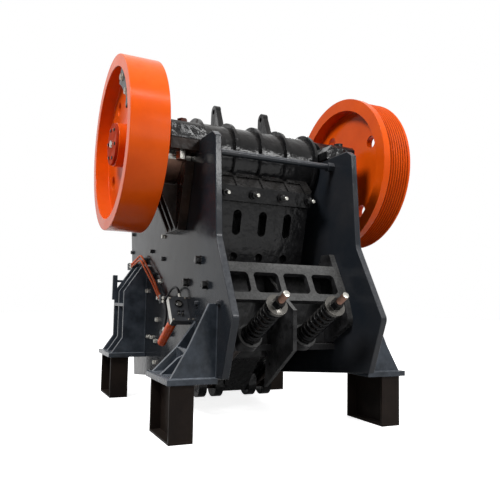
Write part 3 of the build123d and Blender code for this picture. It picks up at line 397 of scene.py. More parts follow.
# What each finish is made of, and what that gives the eye
RECIPES: dict[Finish, Paint | BareMetal | Rubber] = {
    # Filled and rubbed down before the orange coat: long smooth highlights that end softly
    Finish.WHEEL: Paint(
        "e0560c", "d24c08", roughness=0.2, grain=0.04, relief=0.0003, lump=0.25, swell=0.0012, patch=0.3,
        specular=0.1, dust="e8a070", dusty=0.06,
    ),
    # The same coat where belts run: the crests stay orange and painted shade turns the groove floors brown
    Finish.GROOVE: GroovePaint(
        "e4580c", "d44c08", roughness=0.35, grain=0.03, relief=0.0003, patch=0.2, specular=0.08
    ),
    # Brushed primer without a top coat: flat, chalky and pinker than the wheels
    Finish.COVER: Paint(
        "b03c20", "98301a", roughness=0.6, grain=0.01, relief=0.0005, lump=0.05, patch=0.06, specular=0.02
    ),
    # Gloss over sand cast iron: the skin breaks every highlight into wet looking flecks
    Finish.CASTING: Paint(
        "19191a", "0f0f10", roughness=0.16, grain=0.035, relief=0.0014, lump=0.08, swell=0.008, patch=0.2,
        specular=0.16, dust="746f6a", dusty=0.08,
    ),
    # The same coat, greyer as painted light on the bars, dusty on its upper faces, with a rougher sheen
    Finish.BEAM: Paint(
        "363637", "171718", roughness=0.32, grain=0.018, relief=0.0015, lump=0.06, swell=0.004, patch=0.1,
        specular=0.1, dust="9a9a98", dusty=0.3,
    ),
    # Black over grease and primer by the bearings: the brown shows through where it is thin
    Finish.BEARING: Paint(
        "33261f", "191412", roughness=0.24, grain=0.03, relief=0.001, lump=0.09, swell=0.003, patch=0.2,
        specular=0.08, dust="80756c", dusty=0.15,
    ),
    # Gloss over rolled plate: long soft patches of light, since the plate waves only a little
    Finish.PLATE: Paint(
        "2a2b2e", "1d2228", roughness=0.18, grain=0.028, relief=0.0008, lump=0.16, swell=0.002, patch=0.5,
        specular=0.13, dust="8e8f92", dusty=0.3,
    ),
    # The plates' coat over flame cut gussets: bluer and lighter by a painted bluish reflection, and dusty on top
    Finish.FOOT: Paint(
        "3f454d", "262b31", roughness=0.2, grain=0.03, relief=0.0016, lump=0.1, swell=0.003, patch=0.14,
        specular=0.14, dust="9aa0a8", dusty=0.3,
    ),
    # One thin coat over mill scale: dull brown black with hardly a highlight
    Finish.LEG: Paint(
        "28211d", "1b1715", roughness=0.4, grain=0.03, relief=0.0006, lump=0.2, swell=0.001, patch=0.4,
        specular=0.04, dust="4a4540", dusty=0.1,
    ),
    # Thin black enamel on spring steel: even, so that each coil keeps one narrow highlight
    Finish.SPRING: Paint(
        "131315", "0c0d0e", roughness=0.22, grain=0.01, relief=0.0004, lump=0.05, patch=0.05, specular=0.08
    ),
    # Grey hammer finish on cast aluminium: a mid grey with a soft broken sheen
    Finish.PUMP: Paint(
        "3a3d42", "2c2f33", roughness=0.35, grain=0.01, relief=0.0004, lump=0.04, patch=0.06, specular=0.12
    ),
    # Sprayed tube: the wheels' orange, smoother and a little redder
    Finish.RESERVOIR: Paint(
        "dc5208", "c64404", roughness=0.25, grain=0.01, relief=0.0002, lump=0.05, patch=0.1, specular=0.08,
        dust="e8a070",
    ),
    # Matt red brown, on the top of the left bearing cap only
    Finish.RED_BROWN_TOP: Paint(
        "5c2c20", "46241c", roughness=0.5, grain=0.01, relief=0.0005, lump=0.04, patch=0.05, specular=0.1
    ),
    # Zinc plating on small parts: pale, bright and slightly blurred
    Finish.ZINC: BareMetal("bdbcb6", "96948d", roughness=0.3, grain=0.004, relief=0.0002),
    # Turned steel under oil: warm grey, with fine marks that blur its highlights
    Finish.MACHINED: BareMetal("a9a49b", "7d7569"),
    # Pressed steel worn by the spring: mid grey, polished in places
    Finish.DISC: BareMetal("6c6a66", "3e3c39", roughness=0.28, grain=0.008),
    # Thread with old grease: brown and dull, bright only on the crests
    Finish.THREAD: BareMetal("86675a", "57443a", roughness=0.4, grain=0.004),
    # Black oiled steel: dark, with a broad dim highlight
    Finish.OILED: BareMetal("3c3430", "231f1d", roughness=0.4, grain=0.01),
    # Cast manganese steel, unused: dark grey and grainy, half metal to the eye
    Finish.JAW: BareMetal("4c4a47", "383532", roughness=0.5, grain=0.02, relief=0.001, metallic=0.6),
    # Orange rubber cover: pale, satin and a little worn
    Finish.ORANGE_HOSE: Rubber("f07038", "d65a24"),
    # Black rubber cover: nearly no highlight
    Finish.BLACK_HOSE: Rubber("121214", "0b0c0e"),
    # Printed card under a glass: flat grey with a clear reflection over it
    Finish.DIAL: Paint(
        "5c5b57", "454440", roughness=0.1, grain=0.01, relief=0.0, lump=0.01, patch=0.02, specular=0.3, coat=1.0
    ),
}


class Shop:
    """Finished materials, and the one way in which a new mesh becomes a piece of the machine."""

    def __init__(self) -> None:
        """Build every finish once."""
        self.materials = {finish: recipe.build(finish.value) for finish, recipe in RECIPES.items()}

    def publish(self, piece: bpy.types.Object, body: str, finish: Finish, *nodes: str) -> bpy.types.Object:
        """Paint a piece, let it ride on its body and log it.

        Args:
            piece: the new object, already at the origin.
            body: the body that it moves with.
            finish: the finish that it wears.
            nodes: solids that it stands for.

        Returns:
            The same piece.
        """
        bpy.context.scene.collection.objects.link(piece)
        piece.data.materials.append(self.materials[finish])
        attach(piece, body)
        if nodes:
            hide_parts(*nodes)
        LOG.info("built %s", piece.name)
        return piece

    def paint(self, node: str, finish: Finish) -> None:
        """Give a solid that stays as it is its finish.

        Args:
            node: the solid.
            finish: the finish that it wears.
        """
        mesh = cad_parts[node].data
        mesh.materials.clear()
        mesh.materials.append(self.materials[finish])

    def accent(self, piece: bpy.types.Object, finish: Finish, chosen: np.ndarray) -> None:
        """Give a second finish to some faces of a piece.

        Args:
            piece: a published piece.
            finish: the second finish.
            chosen: whether each face wears it.
        """
        mesh = piece.data
        indices = np.empty(len(mesh.polygons), dtype=np.int32)
        mesh.polygons.foreach_get("material_index", indices)
        indices[chosen] = len(mesh.materials)
        mesh.materials.append(self.materials[finish])
        mesh.polygons.foreach_set("material_index", indices)

    def soften(self, node: str, body: str, finish: Finish, width: float, segments: int = 2) -> bpy.types.Object:
        """Stand a copy of a solid with broken edges, as grinding and paint leave them, in its place.

        Args:
            node: the solid.
            body: the body that it moves with.
            finish: the finish that it wears.
            width: width of the broken edge, in metres.
            segments: faces across the edge.

        Returns:
            The piece that replaces the solid.
        """
        mesh = bpy.data.meshes.new(f"{node}_surface")
        shape = bmesh.new()
        shape.from_mesh(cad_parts[node].data)
        bmesh.ops.remove_doubles(shape, verts=shape.verts, dist=SAME_CORNER)
        bmesh.ops.dissolve_limit(
            shape,
            angle_limit=math.radians(FLAT_ANGLE),
            use_dissolve_boundaries=False,
            verts=shape.verts,
            edges=shape.edges,
        )
        shape.to_mesh(mesh)
        shape.free()
        mesh.shade_smooth()
        mesh.set_sharp_from_angle(angle=math.radians(EDGE_ANGLE))
        piece = bpy.data.objects.new(f"{node}_surface", mesh)
        edge = piece.modifiers.new("broken_edges", "BEVEL")
        edge.width = width
        edge.segments = segments
        edge.limit_method = "ANGLE"
        edge.angle_limit = math.radians(EDGE_ANGLE)
        edge.harden_normals = True
        edge.miter_outer = "MITER_ARC"
        return self.publish(piece, body, finish, node)


def from_shaft(x: float | np.ndarray, y: float | np.ndarray, rise: float | np.ndarray) -> np.ndarray:
    """Return places given across the machine, in front of the shaft axis and above it."""
    return np.stack(np.broadcast_arrays(x, SHAFT_Y + np.asarray(y), SHAFT_Z + np.asarray(rise)), axis=-1)


def face_middles(piece: bpy.types.Object) -> np.ndarray:
    """Read where the middle of each face of a piece is.

    Args:
        piece: the piece.

    Returns:
        Places, one row for each face.
    """
    middles = np.empty(len(piece.data.polygons) * 3)
    piece.data.polygons.foreach_get("center", middles)
    return middles.reshape(-1, 3)


def beyond(piece: bpy.types.Object, start: np.ndarray, way: tuple[float, float, float]) -> np.ndarray:
    """Tell which faces of a piece lie beyond a plane.

    A face does where its middle less the start, times the plane's direction, is over nothing.

    Args:
        piece: the piece.
        start: a place on the plane.
        way: direction of its far side.

    Returns:
        Whether each face lies beyond it.
    """
    return (face_middles(piece) - start) @ np.array(way) > 0


def unit(vectors: np.ndarray) -> np.ndarray:
    """Return vectors divided by their lengths."""
    return vectors / np.linalg.norm(vectors, axis=-1, keepdims=True)


def turned_frames(axes: np.ndarray, seed: int = 3) -> np.ndarray:
    """Return right handed frames whose third axis is given and whose first is turned at random.

    The first axis is the given one crossed with the world axis that it is least along, then
    turned about it by an even random angle, as a hand tightened nut is.

    Args:
        axes: unit vectors, one row each.
        seed: start of the random angles.

    Returns:
        One matrix for each axis, with the frame's axes as its rows.
    """
    least = np.eye(3)[np.argmin(np.abs(axes), axis=-1)]
    first = unit(np.cross(axes, least))
    second = np.cross(axes, first)
    turn = np.random.default_rng(seed).uniform(0, 2 * np.pi, len(axes))[:, None]
    across = np.cos(turn) * first + np.sin(turn) * second
    return np.stack([across, np.cross(axes, across), axes], axis=1)


def mesh_object(
    name: str, grids: np.ndarray, wrap_rows: bool = False, sharp: float = 35.0, wrap_columns: bool = True
) -> bpy.types.Object:
    """Make one object of grids of points: a quad joins each point, its right neighbour and the row above.

    Args:
        name: name of the object.
        grids: points by copy, row and column, in metres.
        wrap_rows: whether the last row joins the first.
        sharp: angle in degrees over which an edge is drawn sharp.
        wrap_columns: whether the last column joins the first.

    Returns:
        The object, its doubles merged, at the origin.
    """
    copies, rows, columns = grids.shape[:3]
    row = np.arange(rows if wrap_rows else rows - 1)[:, None]
    column = np.arange(columns if wrap_columns else columns - 1)[None, :]
    above = (row + 1) % rows
    beside = (column + 1) % columns
    corners = (row * columns + column, row * columns + beside, above * columns + beside, above * columns + column)
    quads = np.stack([np.broadcast_to(c, (row.size, column.size)) for c in corners], axis=-1).reshape(-1, 4)
    quads = (quads[None] + (np.arange(copies) * rows * columns)[:, None, None]).reshape(-1, 4)
    mesh = bpy.data.meshes.new(name)
    mesh.from_pydata(grids.reshape(-1, 3).tolist(), [], quads.tolist())
    shape = bmesh.new()
    shape.from_mesh(mesh)
    bmesh.ops.remove_doubles(shape, verts=shape.verts, dist=SAME_POINT)
    shape.to_mesh(mesh)
    shape.free()
    mesh.shade_smooth()
    mesh.set_sharp_from_angle(angle=math.radians(sharp))
    return bpy.data.objects.new(name, mesh)


def turned(rings: np.ndarray, places: np.ndarray, axes: np.ndarray, columns: int = 24) -> np.ndarray:
    """Return turned or hexagonal bodies, a copy at each place.

    A point's distance from the axis is the ring's round radius, or the flat of a hexagon where
    that is nearer: the hexagon's half width over the cosine of the angle from its nearest flat.

    Args:
        rings: rows of round radius, hexagon half width (0 for none) and height along the axis.
        places: foot of each copy.
        axes: unit axis of each copy.
        columns: points around.

    Returns:
        Points by copy, row and column.
    """
    angle = np.linspace(0, 2 * np.pi, columns, endpoint=False)
    from_flat = (angle + np.pi / 6) % (np.pi / 3) - np.pi / 6
    flat = np.where(rings[:, 1:2] > 0, rings[:, 1:2] / np.cos(from_flat)[None], np.inf)
    radius = np.minimum(rings[:, 0:1], flat)
    height = np.broadcast_to(rings[:, 2:3], radius.shape)
    local = np.stack([radius * np.cos(angle), radius * np.sin(angle), height], axis=-1)
    return np.einsum("rci,kij->krcj", local, turned_frames(axes)) + places[:, None, None, :]


def carried(path: np.ndarray, radius: float | np.ndarray, columns: int = 12, closed: bool = False) -> np.ndarray:
    """Return a round tube whose centre follows a path.

    Each ring stands across the path: its first axis is the one before it, less its part along
    the path, so that the tube doesn't twist where the path bends only in one plane.

    Args:
        path: centre points, one row each.
        radius: radius at each point, or of the whole tube.
        columns: points around.
        closed: whether a point on the path closes each end.

    Returns:
        Points of one copy, by row and column.
    """
    along = unit(np.gradient(path, axis=0))
    least = np.eye(3)[np.argmin(np.abs(along).max(axis=0))]
    across = unit(np.cross(along, least))
    over = np.cross(along, across)
    angle = np.linspace(0, 2 * np.pi, columns, endpoint=False)[None, :, None]
    size = np.broadcast_to(np.asarray(radius, dtype=float), (len(path),))[:, None, None]
    ring = across[:, None, :] * np.cos(angle) + over[:, None, :] * np.sin(angle)
    tube = path[:, None, :] + size * ring
    if closed:
        ends = [np.broadcast_to(path[i], (1, columns, 3)) for i in (0, -1)]
        tube = np.concatenate([ends[0], tube, ends[1]])
    return tube[None]


@dataclass(frozen=True)
class Fastener:
    """Hexagon bolt head or nut on a washer, with the stud's end standing out of it."""

    across_flats: float = 0.046
    head_height: float = 0.022
    washer_radius: float = 0.034
    washer_thickness: float = 0.005
    stud_radius: float = 0.012
    stud_rise: float = 0.0
    sunk: float = 0.0008
    washer_wall_share: float = 0.7
    washer_rim_share: float = 0.97
    head_rim_share: float = 0.96
    stud_wall_share: float = 0.85
    stud_tip_share: float = 0.8

    def rings(self) -> np.ndarray:
        """List the rings of the washer, the chamfered hexagon and the stud, from foot to tip.

        Returns:
            Rows of round radius, hexagon half width and height, as turned() takes them.
        """
        half = self.across_flats / 2
        corner = half / math.cos(math.pi / 6)
        top = self.washer_thickness + self.head_height
        chamfer = (corner - half) * math.tan(math.pi / 6)
        rings = [
            (0, 0, -self.sunk),
            (self.washer_radius, 0, -self.sunk),
            (self.washer_radius, 0, self.washer_thickness * self.washer_wall_share),
            (self.washer_radius * self.washer_rim_share, 0, self.washer_thickness),
            (corner, half, self.washer_thickness),
            (corner, half, top - chamfer),
            (half * self.head_rim_share, half, top),
        ]
        if self.stud_rise:
            rings += [
                (self.stud_radius, 0, top),
                (self.stud_radius, 0, top + self.stud_rise * self.stud_wall_share),
                (self.stud_radius * self.stud_tip_share, 0, top + self.stud_rise),
                (0, 0, top + self.stud_rise),
            ]
        else:
            rings.append((0, 0, top))
        return np.array(rings)

    def copies(self, places: np.ndarray, axes: np.ndarray) -> np.ndarray:
        """Return a fastener standing at each place along each axis."""
        return turned(self.rings(), places, axes)


@dataclass(frozen=True)
class Weld:
    """Fillet weld laid by hand: a round bead whose radius swells once for each ripple."""

    radius: float = 0.009
    ripple: float = 0.012
    swell: float = 0.16
    step: float = 0.004
    columns: int = 8

    def bead(self, start: np.ndarray, end: np.ndarray) -> np.ndarray:
        """Return a bead between two points, its radius larger by a share of the ripple's sine.

        Args:
            start: first point of the seam.
            end: last point of the seam.

        Returns:
            Points by row and column.
        """
        length = float(np.linalg.norm(end - start))
        t = np.linspace(0, 1, max(4, int(length / self.step)))[:, None]
        path = start + (end - start) * t
        radius = self.radius * (1 + self.swell * np.abs(np.sin(np.pi * t[:, 0] * length / self.ripple)))
        return carried(path, radius, self.columns, closed=True)[0]

    def run(self, name: str, seams: list[tuple[np.ndarray, np.ndarray]]) -> bpy.types.Object:
        """Make one object of the beads along straight seams.

        Args:
            name: name of the object.
            seams: start and end of each seam.

        Returns:
            The object.
        """
        parts = [mesh_object(f"{name}_{i}", self.bead(a, b)[None], sharp=ROUND_ANGLE) for i, (a, b) in enumerate(seams)]
        return joined(name, parts)


def joined(name: str, parts: list[bpy.types.Object]) -> bpy.types.Object:
    """Join several new objects into one mesh and drop them.

    Args:
        name: name of the joined object.
        parts: objects at the origin, not yet linked.

    Returns:
        The joined object.
    """
    shape = bmesh.new()
    for part in parts:
        shape.from_mesh(part.data)
    mesh = bpy.data.meshes.new(name)
    shape.to_mesh(mesh)
    shape.free()
    for part in parts:
        bpy.data.meshes.remove(part.data)
    return bpy.data.objects.new(name, mesh)


def struck(node: str, starts: np.ndarray, direction: tuple[float, float, float]) -> tuple[np.ndarray, np.ndarray]:
    """Find where rays strike a solid, so that what is fastened there sits on it.

    Args:
        node: the solid.
        starts: starts of the rays, one row each.
        direction: their common direction.

    Returns:
        Places and outward unit normals.
    """
    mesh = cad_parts[node].data
    corners = np.empty(len(mesh.vertices) * 3)
    mesh.vertices.foreach_get("co", corners)
    mesh.calc_loop_triangles()
    faces = np.empty(len(mesh.loop_triangles) * 3, dtype=np.int32)
    mesh.loop_triangles.foreach_get("vertices", faces)
    tree = BVHTree.FromPolygons(corners.reshape(-1, 3).tolist(), faces.reshape(-1, 3).tolist())
    way = Vector(direction).normalized()
    hits = [tree.ray_cast(Vector(start), way) for start in starts]
    missed = [tuple(start) for start, hit in zip(starts, hits) if hit[0] is None]
    if missed:
        raise ValueError(f"nothing of {node} lies behind {missed}")
    return np.array([hit[0] for hit in hits]), unit(np.array([hit[1] for hit in hits]))


@dataclass
class Studio:
    """Camera at the photograph's place, soft lamps and a pale floor."""

    position: tuple[float, float, float] = (-2.082, -4.6755, 0.945)
    azimuth: float = 23.88
    elevation: float = 4.606
    roll: float = 1.226
    lens: float = 39.39
    shift_x: float = 0.0385
    shift_y: float = 0.0158
    floor_reach: float = 30.0
    floor_drop: float = 0.001
    floor_tone: float = 0.9
    floor_bounce: float = 0.2
    floor_glow: float = 0.82
    floor_roughness: float = 0.9
    shade_radius: float = 1.3
    deepest_shade: float = 0.05
    aim_height: float = 1.5
    fill: float = 0.2
    # Name, place, width, height and power of each lamp
    lamps: tuple = (
        ("roof_light", (-5.0, -2.5, 6.8), 2.2, 2.2, 470),
        ("roof_strip", (0.1, -4.4, 7.2), 2.4, 0.4, 80),
        ("hall_window", (1.5, -9.5, 3.0), 9.0, 2.6, 190),
        ("far_wall_strip", (3.0, -7.0, 5.1), 3.2, 0.5, 260),
        ("feed_side_light", (5.5, 6.0, 4.6), 3.0, 3.0, 300),
    )

    def place_camera(self) -> None:
        """Make the camera and set it as the scene's camera."""
        data = bpy.data.cameras.new("studio_camera")
        data.lens = self.lens
        data.sensor_width = 36
        data.shift_x = self.shift_x
        data.shift_y = self.shift_y
        data.clip_end = 100
        camera = bpy.data.objects.new("studio_camera", data)
        bpy.context.scene.collection.objects.link(camera)
        az, el, roll = (math.radians(v) for v in (self.azimuth, self.elevation, self.roll))
        forward = Vector((math.sin(az) * math.cos(el), math.cos(az) * math.cos(el), math.sin(el)))
        right = Vector((math.cos(az), -math.sin(az), 0))
        up = right.cross(forward)
        across = right * math.cos(roll) + up * math.sin(roll)
        upright = -right * math.sin(roll) + up * math.cos(roll)
        turn = Matrix((across, upright, -forward)).transposed()
        camera.matrix_world = Matrix.Translation(self.position) @ turn.to_4x4()
        bpy.context.scene.camera = camera

    def seen(self, tree: bpy.types.NodeTree) -> bpy.types.NodeSocket:
        """Return a socket that is 1 for camera, glossy and transmission rays.

        Args:
            tree: the node tree that gets the nodes.

        Returns:
            The socket.
        """
        ray = add_node(tree, "ShaderNodeLightPath")
        camera, glossy, through = (ray.outputs[f"Is {kind} Ray"] for kind in ("Camera", "Glossy", "Transmission"))
        either = add_node(tree, "ShaderNodeMath", {"operation": "MAXIMUM"}, {0: camera, 1: glossy})
        both = add_node(tree, "ShaderNodeMath", {"operation": "MAXIMUM"}, {0: either.outputs[0], 1: through})
        return both.outputs[0]

    def place_lamps(self) -> None:
        """Make the world, white where it is seen or mirrored and dim where it lights, and the lamps."""
        scene = bpy.context.scene
        scene.view_settings.view_transform = "Standard"
        world = bpy.data.worlds.new("studio_world")
        scene.world = world
        world.use_nodes = True
        tree = world.node_tree
        back = tree.nodes["Background"]
        strength = add_node(
            tree, "ShaderNodeMapRange", {"To Min": self.fill, "To Max": 1.0}, {"Value": self.seen(tree)}
        )
        back.inputs["Color"].default_value = (1, 1, 1, 1)
        tree.links.new(strength.outputs["Result"], back.inputs["Strength"])
        for name, place, width, height, power in self.lamps:
            light = bpy.data.lights.new(name, "AREA")
            light.shape = "RECTANGLE"
            light.size = width
            light.size_y = height
            light.energy = power
            lamp = bpy.data.objects.new(name, light)
            lamp.location = place
            way = Vector((0, 0, self.aim_height)) - Vector(place)
            lamp.rotation_euler = way.to_track_quat("-Z", "Y").to_euler()
            scene.collection.objects.link(lamp)

    def lay_floor(self) -> None:
        """Make the floor, white where it is seen or mirrored, which keeps the machine's shadow."""
        mesh = bpy.data.meshes.new("studio_floor")
        r = self.floor_reach
        corners = [(-r, -r), (r, -r), (r, r), (-r, r)]
        mesh.from_pydata([(x, y, -self.floor_drop) for x, y in corners], [], [(0, 1, 2, 3)])
        floor = bpy.data.objects.new("studio_floor", mesh)
        bpy.context.scene.collection.objects.link(floor)
        material = bpy.data.materials.new("pale_floor")
        material.use_nodes = True
        tree = material.node_tree
        shader = tree.nodes["Principled BSDF"]
        seen = self.seen(tree)
        bounce, pale = ((tone, tone, tone, 1) for tone in (self.floor_bounce, self.floor_tone))
        tone = add_node(tree, "ShaderNodeMix", {"data_type": "RGBA", 6: bounce, 7: pale}, {0: seen})
        glow = add_node(tree, "ShaderNodeMapRange", {"To Min": 0.0, "To Max": self.floor_glow}, {"Value": seen})
        # The machine stands over the middle of the floor, and what mirrors that part is shown its shade
        place = add_node(tree, "ShaderNodeTexCoord").outputs["Object"]
        reach = add_node(tree, "ShaderNodeVectorMath", {"operation": "LENGTH"}, {0: place})
        shade = add_node(
            tree,
            "ShaderNodeMapRange",
            {"From Min": self.shade_radius, "From Max": 2 * self.shade_radius, "To Min": self.deepest_shade},
            {"Value": reach.outputs["Value"]},
        )
        direct = add_node(tree, "ShaderNodeLightPath").outputs["Is Camera Ray"]
        share = add_node(tree, "ShaderNodeMath", {"operation": "MAXIMUM"}, {0: direct, 1: shade.outputs["Result"]})
        strength = add_node(
            tree, "ShaderNodeMath", {"operation": "MULTIPLY"}, {0: glow.outputs["Result"], 1: share.outputs["Value"]}
        )
        tree.links.new(tone.outputs[2], shader.inputs["Base Color"])
        tree.links.new(strength.outputs["Value"], shader.inputs["Emission Strength"])
        shader.inputs["Roughness"].default_value = self.floor_roughness
        shader.inputs["Emission Color"].default_value = (1, 1, 1, 1)
        mesh.materials.append(material)


@dataclass
class SidePlates:
    """Two thick plates with the bolts that hold the front wall and the toggle beam to them."""

    edge: float = 0.007
    ray_reach: float = 1.0
    bolt: Fastener = Fastener(0.034, 0.02, 0.022, 0.004)
    large_bolt: Fastener = Fastener(0.054, 0.034, 0.036, 0.006)
    # Places in front of the shaft axis and heights above the ground, read off the photograph
    bright_places: tuple = (
        (0.438, 1.529),
        (0.515, 1.121),
        (0.947, 1.038),
        (0.551, 0.968),
        (0.567, 0.769),
        (0.861, 0.596),
        (0.732, 0.597),
        (0.599, 0.570),
        (0.604, 0.374),
    )
    painted_places: tuple = (
        (1.578, 1.666),
        (1.603, 1.469),
        (0.813, 1.422),
        (0.432, 1.324),
        (-0.914, 0.937),
        (-0.478, 0.929),
    )
    beam_places: tuple = ((-0.507, 1.256), (-0.238, 1.093), (-0.658, 1.064))

    def build(self, shop: Shop) -> None:
        """Break the plates' edges and set their bolts where a ray from outside strikes them.

        Args:
            shop: where materials come from.
        """
        for name, side in SIDES.items():
            shop.soften(f"side_plate_{name}", ROOT, Finish.PLATE, self.edge, 3)
            for label, fastener, table, finish in (
                ("bright_bolts", self.bolt, self.bright_places, Finish.ZINC),
                ("painted_bolts", self.bolt, self.painted_places, Finish.PLATE),
                ("beam_bolts", self.large_bolt, self.beam_places, Finish.CASTING),
            ):
                spots = np.array(table)
                starts = from_shaft(side * (WALL_X + self.ray_reach), spots[:, 0], spots[:, 1] - SHAFT_Z)
                places, axes = struck(f"side_plate_{name}", starts, (-side, 0, 0))
                shop.publish(mesh_object(f"{label}_{name}", fastener.copies(places, axes)), ROOT, finish)


@dataclass
class Footing:
    """Legs and foot brackets with the welds along their seams."""

    edge: float = 0.004
    weld: Weld = Weld(0.006)
    inset: float = 0.002
    scan_rays: int = 240
    scan_margin: float = 0.01
    scan_height: float = 1.0
    least_step: float = 0.02

    def build(self, shop: Shop) -> None:
        """Break edges of legs and brackets and lay the welds where gussets meet wall and foot plate.

        Args:
            shop: where materials come from.
        """
        for name, side in SIDES.items():
            for end in ("rear", "front"):
                shop.soften(f"leg_{end}_{name}", ROOT, Finish.LEG, self.edge / 2)
                # The gussets and their welds wear the plates' coat with a painted bluish reflection
                shop.soften(f"foot_bracket_{end}_{name}", ROOT, Finish.FOOT, self.edge)
                seams = self.wall_seams(end, side) + self.leg_seams(end, name)
                shop.publish(self.weld.run(f"welds_{end}_{name}", seams), ROOT, Finish.FOOT)

    def wall_seams(self, end: str, side: int) -> list[tuple[np.ndarray, np.ndarray]]:
        """Return the upright seams between each gusset and the side plate.

        Rays from outside along the wall find how high each gusset stands.

        Args:
            end: "rear" or "front".
            side: -1 for left or 1 for right.

        Returns:
            Start and end of each seam.
        """
        node = f"foot_bracket_{end}_{'left' if side < 0 else 'right'}"
        low, high = (np.array(corner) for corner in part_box(node))
        x = side * (WALL_X + self.inset)
        columns = np.linspace(low[1] + self.scan_margin, high[1] - self.scan_margin, self.scan_rays)
        start_height = np.full(self.scan_rays, high[2] + self.scan_height)
        starts = np.stack([np.full(self.scan_rays, x), columns, start_height], axis=-1)
        tops = struck(node, starts, (0, 0, -1))[0][:, 2]
        plate = tops.min()
        rises = np.flatnonzero(np.diff(tops) > self.least_step)
        falls = np.flatnonzero(np.diff(tops) < -self.least_step) + 1
        seams = [(columns[i], tops[i + 1]) for i in rises] + [(columns[i], tops[i - 1]) for i in falls]
        return [(np.array([x, y, plate]), np.array([x, y, top])) for y, top in seams]

    def leg_seams(self, end: str, name: str) -> list[tuple[np.ndarray, np.ndarray]]:
        """Return the seams around the head of a leg, under its bracket's foot plate.

        Args:
            end: "rear" or "front".
            name: "left" or "right".

        Returns:
            Start and end of each seam.
        """
        low, high = (np.array(corner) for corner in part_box(f"leg_{end}_{name}"))
        z = high[2] - self.inset / 2
        around = ((low[0], low[1]), (high[0], low[1]), (high[0], high[1]), (low[0], high[1]))
        corners = [np.array([x, y, z]) for x, y in around]
        return list(zip(corners, corners[1:] + corners[:1]))


@dataclass
class Flywheels:
    """Plain and grooved wheel with their hub covers, counterweights and bolts."""

    plain_edge: float = 0.006
    grooved_edge: float = 0.0015
    cover_edge: float = 0.003
    weight_edge: float = 0.003
    groove_crest: float = 0.003
    groove_depth: float = 0.03
    cover_bolt_circle: float = 0.128
    cover_bolts: int = 6
    cover_turn: float = 12.0
    cover_bolt: Fastener = Fastener(0.024, 0.006, 0.015, 0.002)
    stud: Fastener = Fastener(0.052, 0.012, 0.03, 0.002)
    weight_bolt: Fastener = Fastener(0.046, 0.014, 0.03, 0.004)
    weight_angles: tuple = (122.0, 148.0)
    weight_circle: float = 0.535

    def build(self, shop: Shop) -> None:
        """Build what turns with the shaft.

        Args:
            shop: where materials come from.
        """
        shop.paint("eccentric_shaft", Finish.MACHINED)
        shop.soften("flywheel_left", ROTOR, Finish.WHEEL, self.plain_edge, 3)
        grooved = shop.soften("flywheel_right", ROTOR, Finish.WHEEL, self.grooved_edge)
        # The groove walls and floors wear the coat with painted shade
        shop.accent(grooved, Finish.GROOVE, self.in_grooves(grooved))
        for name, side in SIDES.items():
            shop.soften(f"hub_cover_{name}", ROTOR, Finish.COVER, self.cover_edge)
            shop.soften(f"counterweight_{name}", ROTOR, Finish.SPRING, self.weight_edge)
            self.cover_fasteners(shop, name, side)
            self.weight_fasteners(shop, name, side)

    def in_grooves(self, wheel: bpy.types.Object) -> np.ndarray:
        """Tell which faces of the grooved wheel are walls or floors of its belt grooves.

        They are those whose middle lies deeper under the crests than the cut, but no deeper than
        the grooves, by its distance from the shaft axis.

        Args:
            wheel: the wheel.

        Returns:
            Whether each face is in a groove.
        """
        middles = face_middles(wheel) - from_shaft(0, 0, 0)
        low, high = (np.array(corner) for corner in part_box("flywheel_right"))
        under = (high[2] - low[2]) / 2 - np.hypot(middles[:, 1], middles[:, 2])
        return (under > self.groove_crest) & (under < self.groove_depth)

    def around(self, x: float, radius: float, degrees: np.ndarray) -> np.ndarray:
        """Return places on a circle about the shaft: a cosine in front of it and a sine above it.

        Args:
            x: place across the machine.
            radius: radius of the circle.
            degrees: angle of each place from straight ahead.

        Returns:
            Places, one row each.
        """
        angle = np.radians(degrees)
        return from_shaft(x, radius * np.cos(angle), radius * np.sin(angle))

    def cover_fasteners(self, shop: Shop, name: str, side: int) -> None:
        """Set the ring of low bolts and the bright centre bolt on a hub cover.

        Args:
            shop: where materials come from.
            name: "left" or "right".
            side: -1 for left or 1 for right.
        """
        x = side * max(abs(corner[0]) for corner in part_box(f"hub_cover_{name}"))
        degrees = np.arange(self.cover_bolts) * 360 / self.cover_bolts + self.cover_turn
        places = self.around(x, self.cover_bolt_circle, degrees)
        axes = np.tile([side, 0.0, 0.0], (self.cover_bolts, 1))
        shop.publish(mesh_object(f"cover_bolts_{name}", self.cover_bolt.copies(places, axes)), ROTOR, Finish.SPRING)
        stud = self.stud.copies(from_shaft(np.array([x]), 0, 0), axes[:1])
        shop.publish(mesh_object(f"shaft_stud_{name}", stud), ROTOR, Finish.ZINC)

    def weight_fasteners(self, shop: Shop, name: str, side: int) -> None:
        """Set the nuts that clamp a counterweight to the wheel's web.

        Args:
            shop: where materials come from.
            name: "left" or "right".
            side: -1 for left or 1 for right.
        """
        x = side * max(abs(corner[0]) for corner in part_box(f"counterweight_{name}"))
        places = self.around(x, self.weight_circle, np.array(self.weight_angles))
        axes = np.tile([side, 0.0, 0.0], (len(places), 1))
        nuts = mesh_object(f"weight_nuts_{name}", self.weight_bolt.copies(places, axes))
        shop.publish(nuts, ROTOR, Finish.MACHINED)


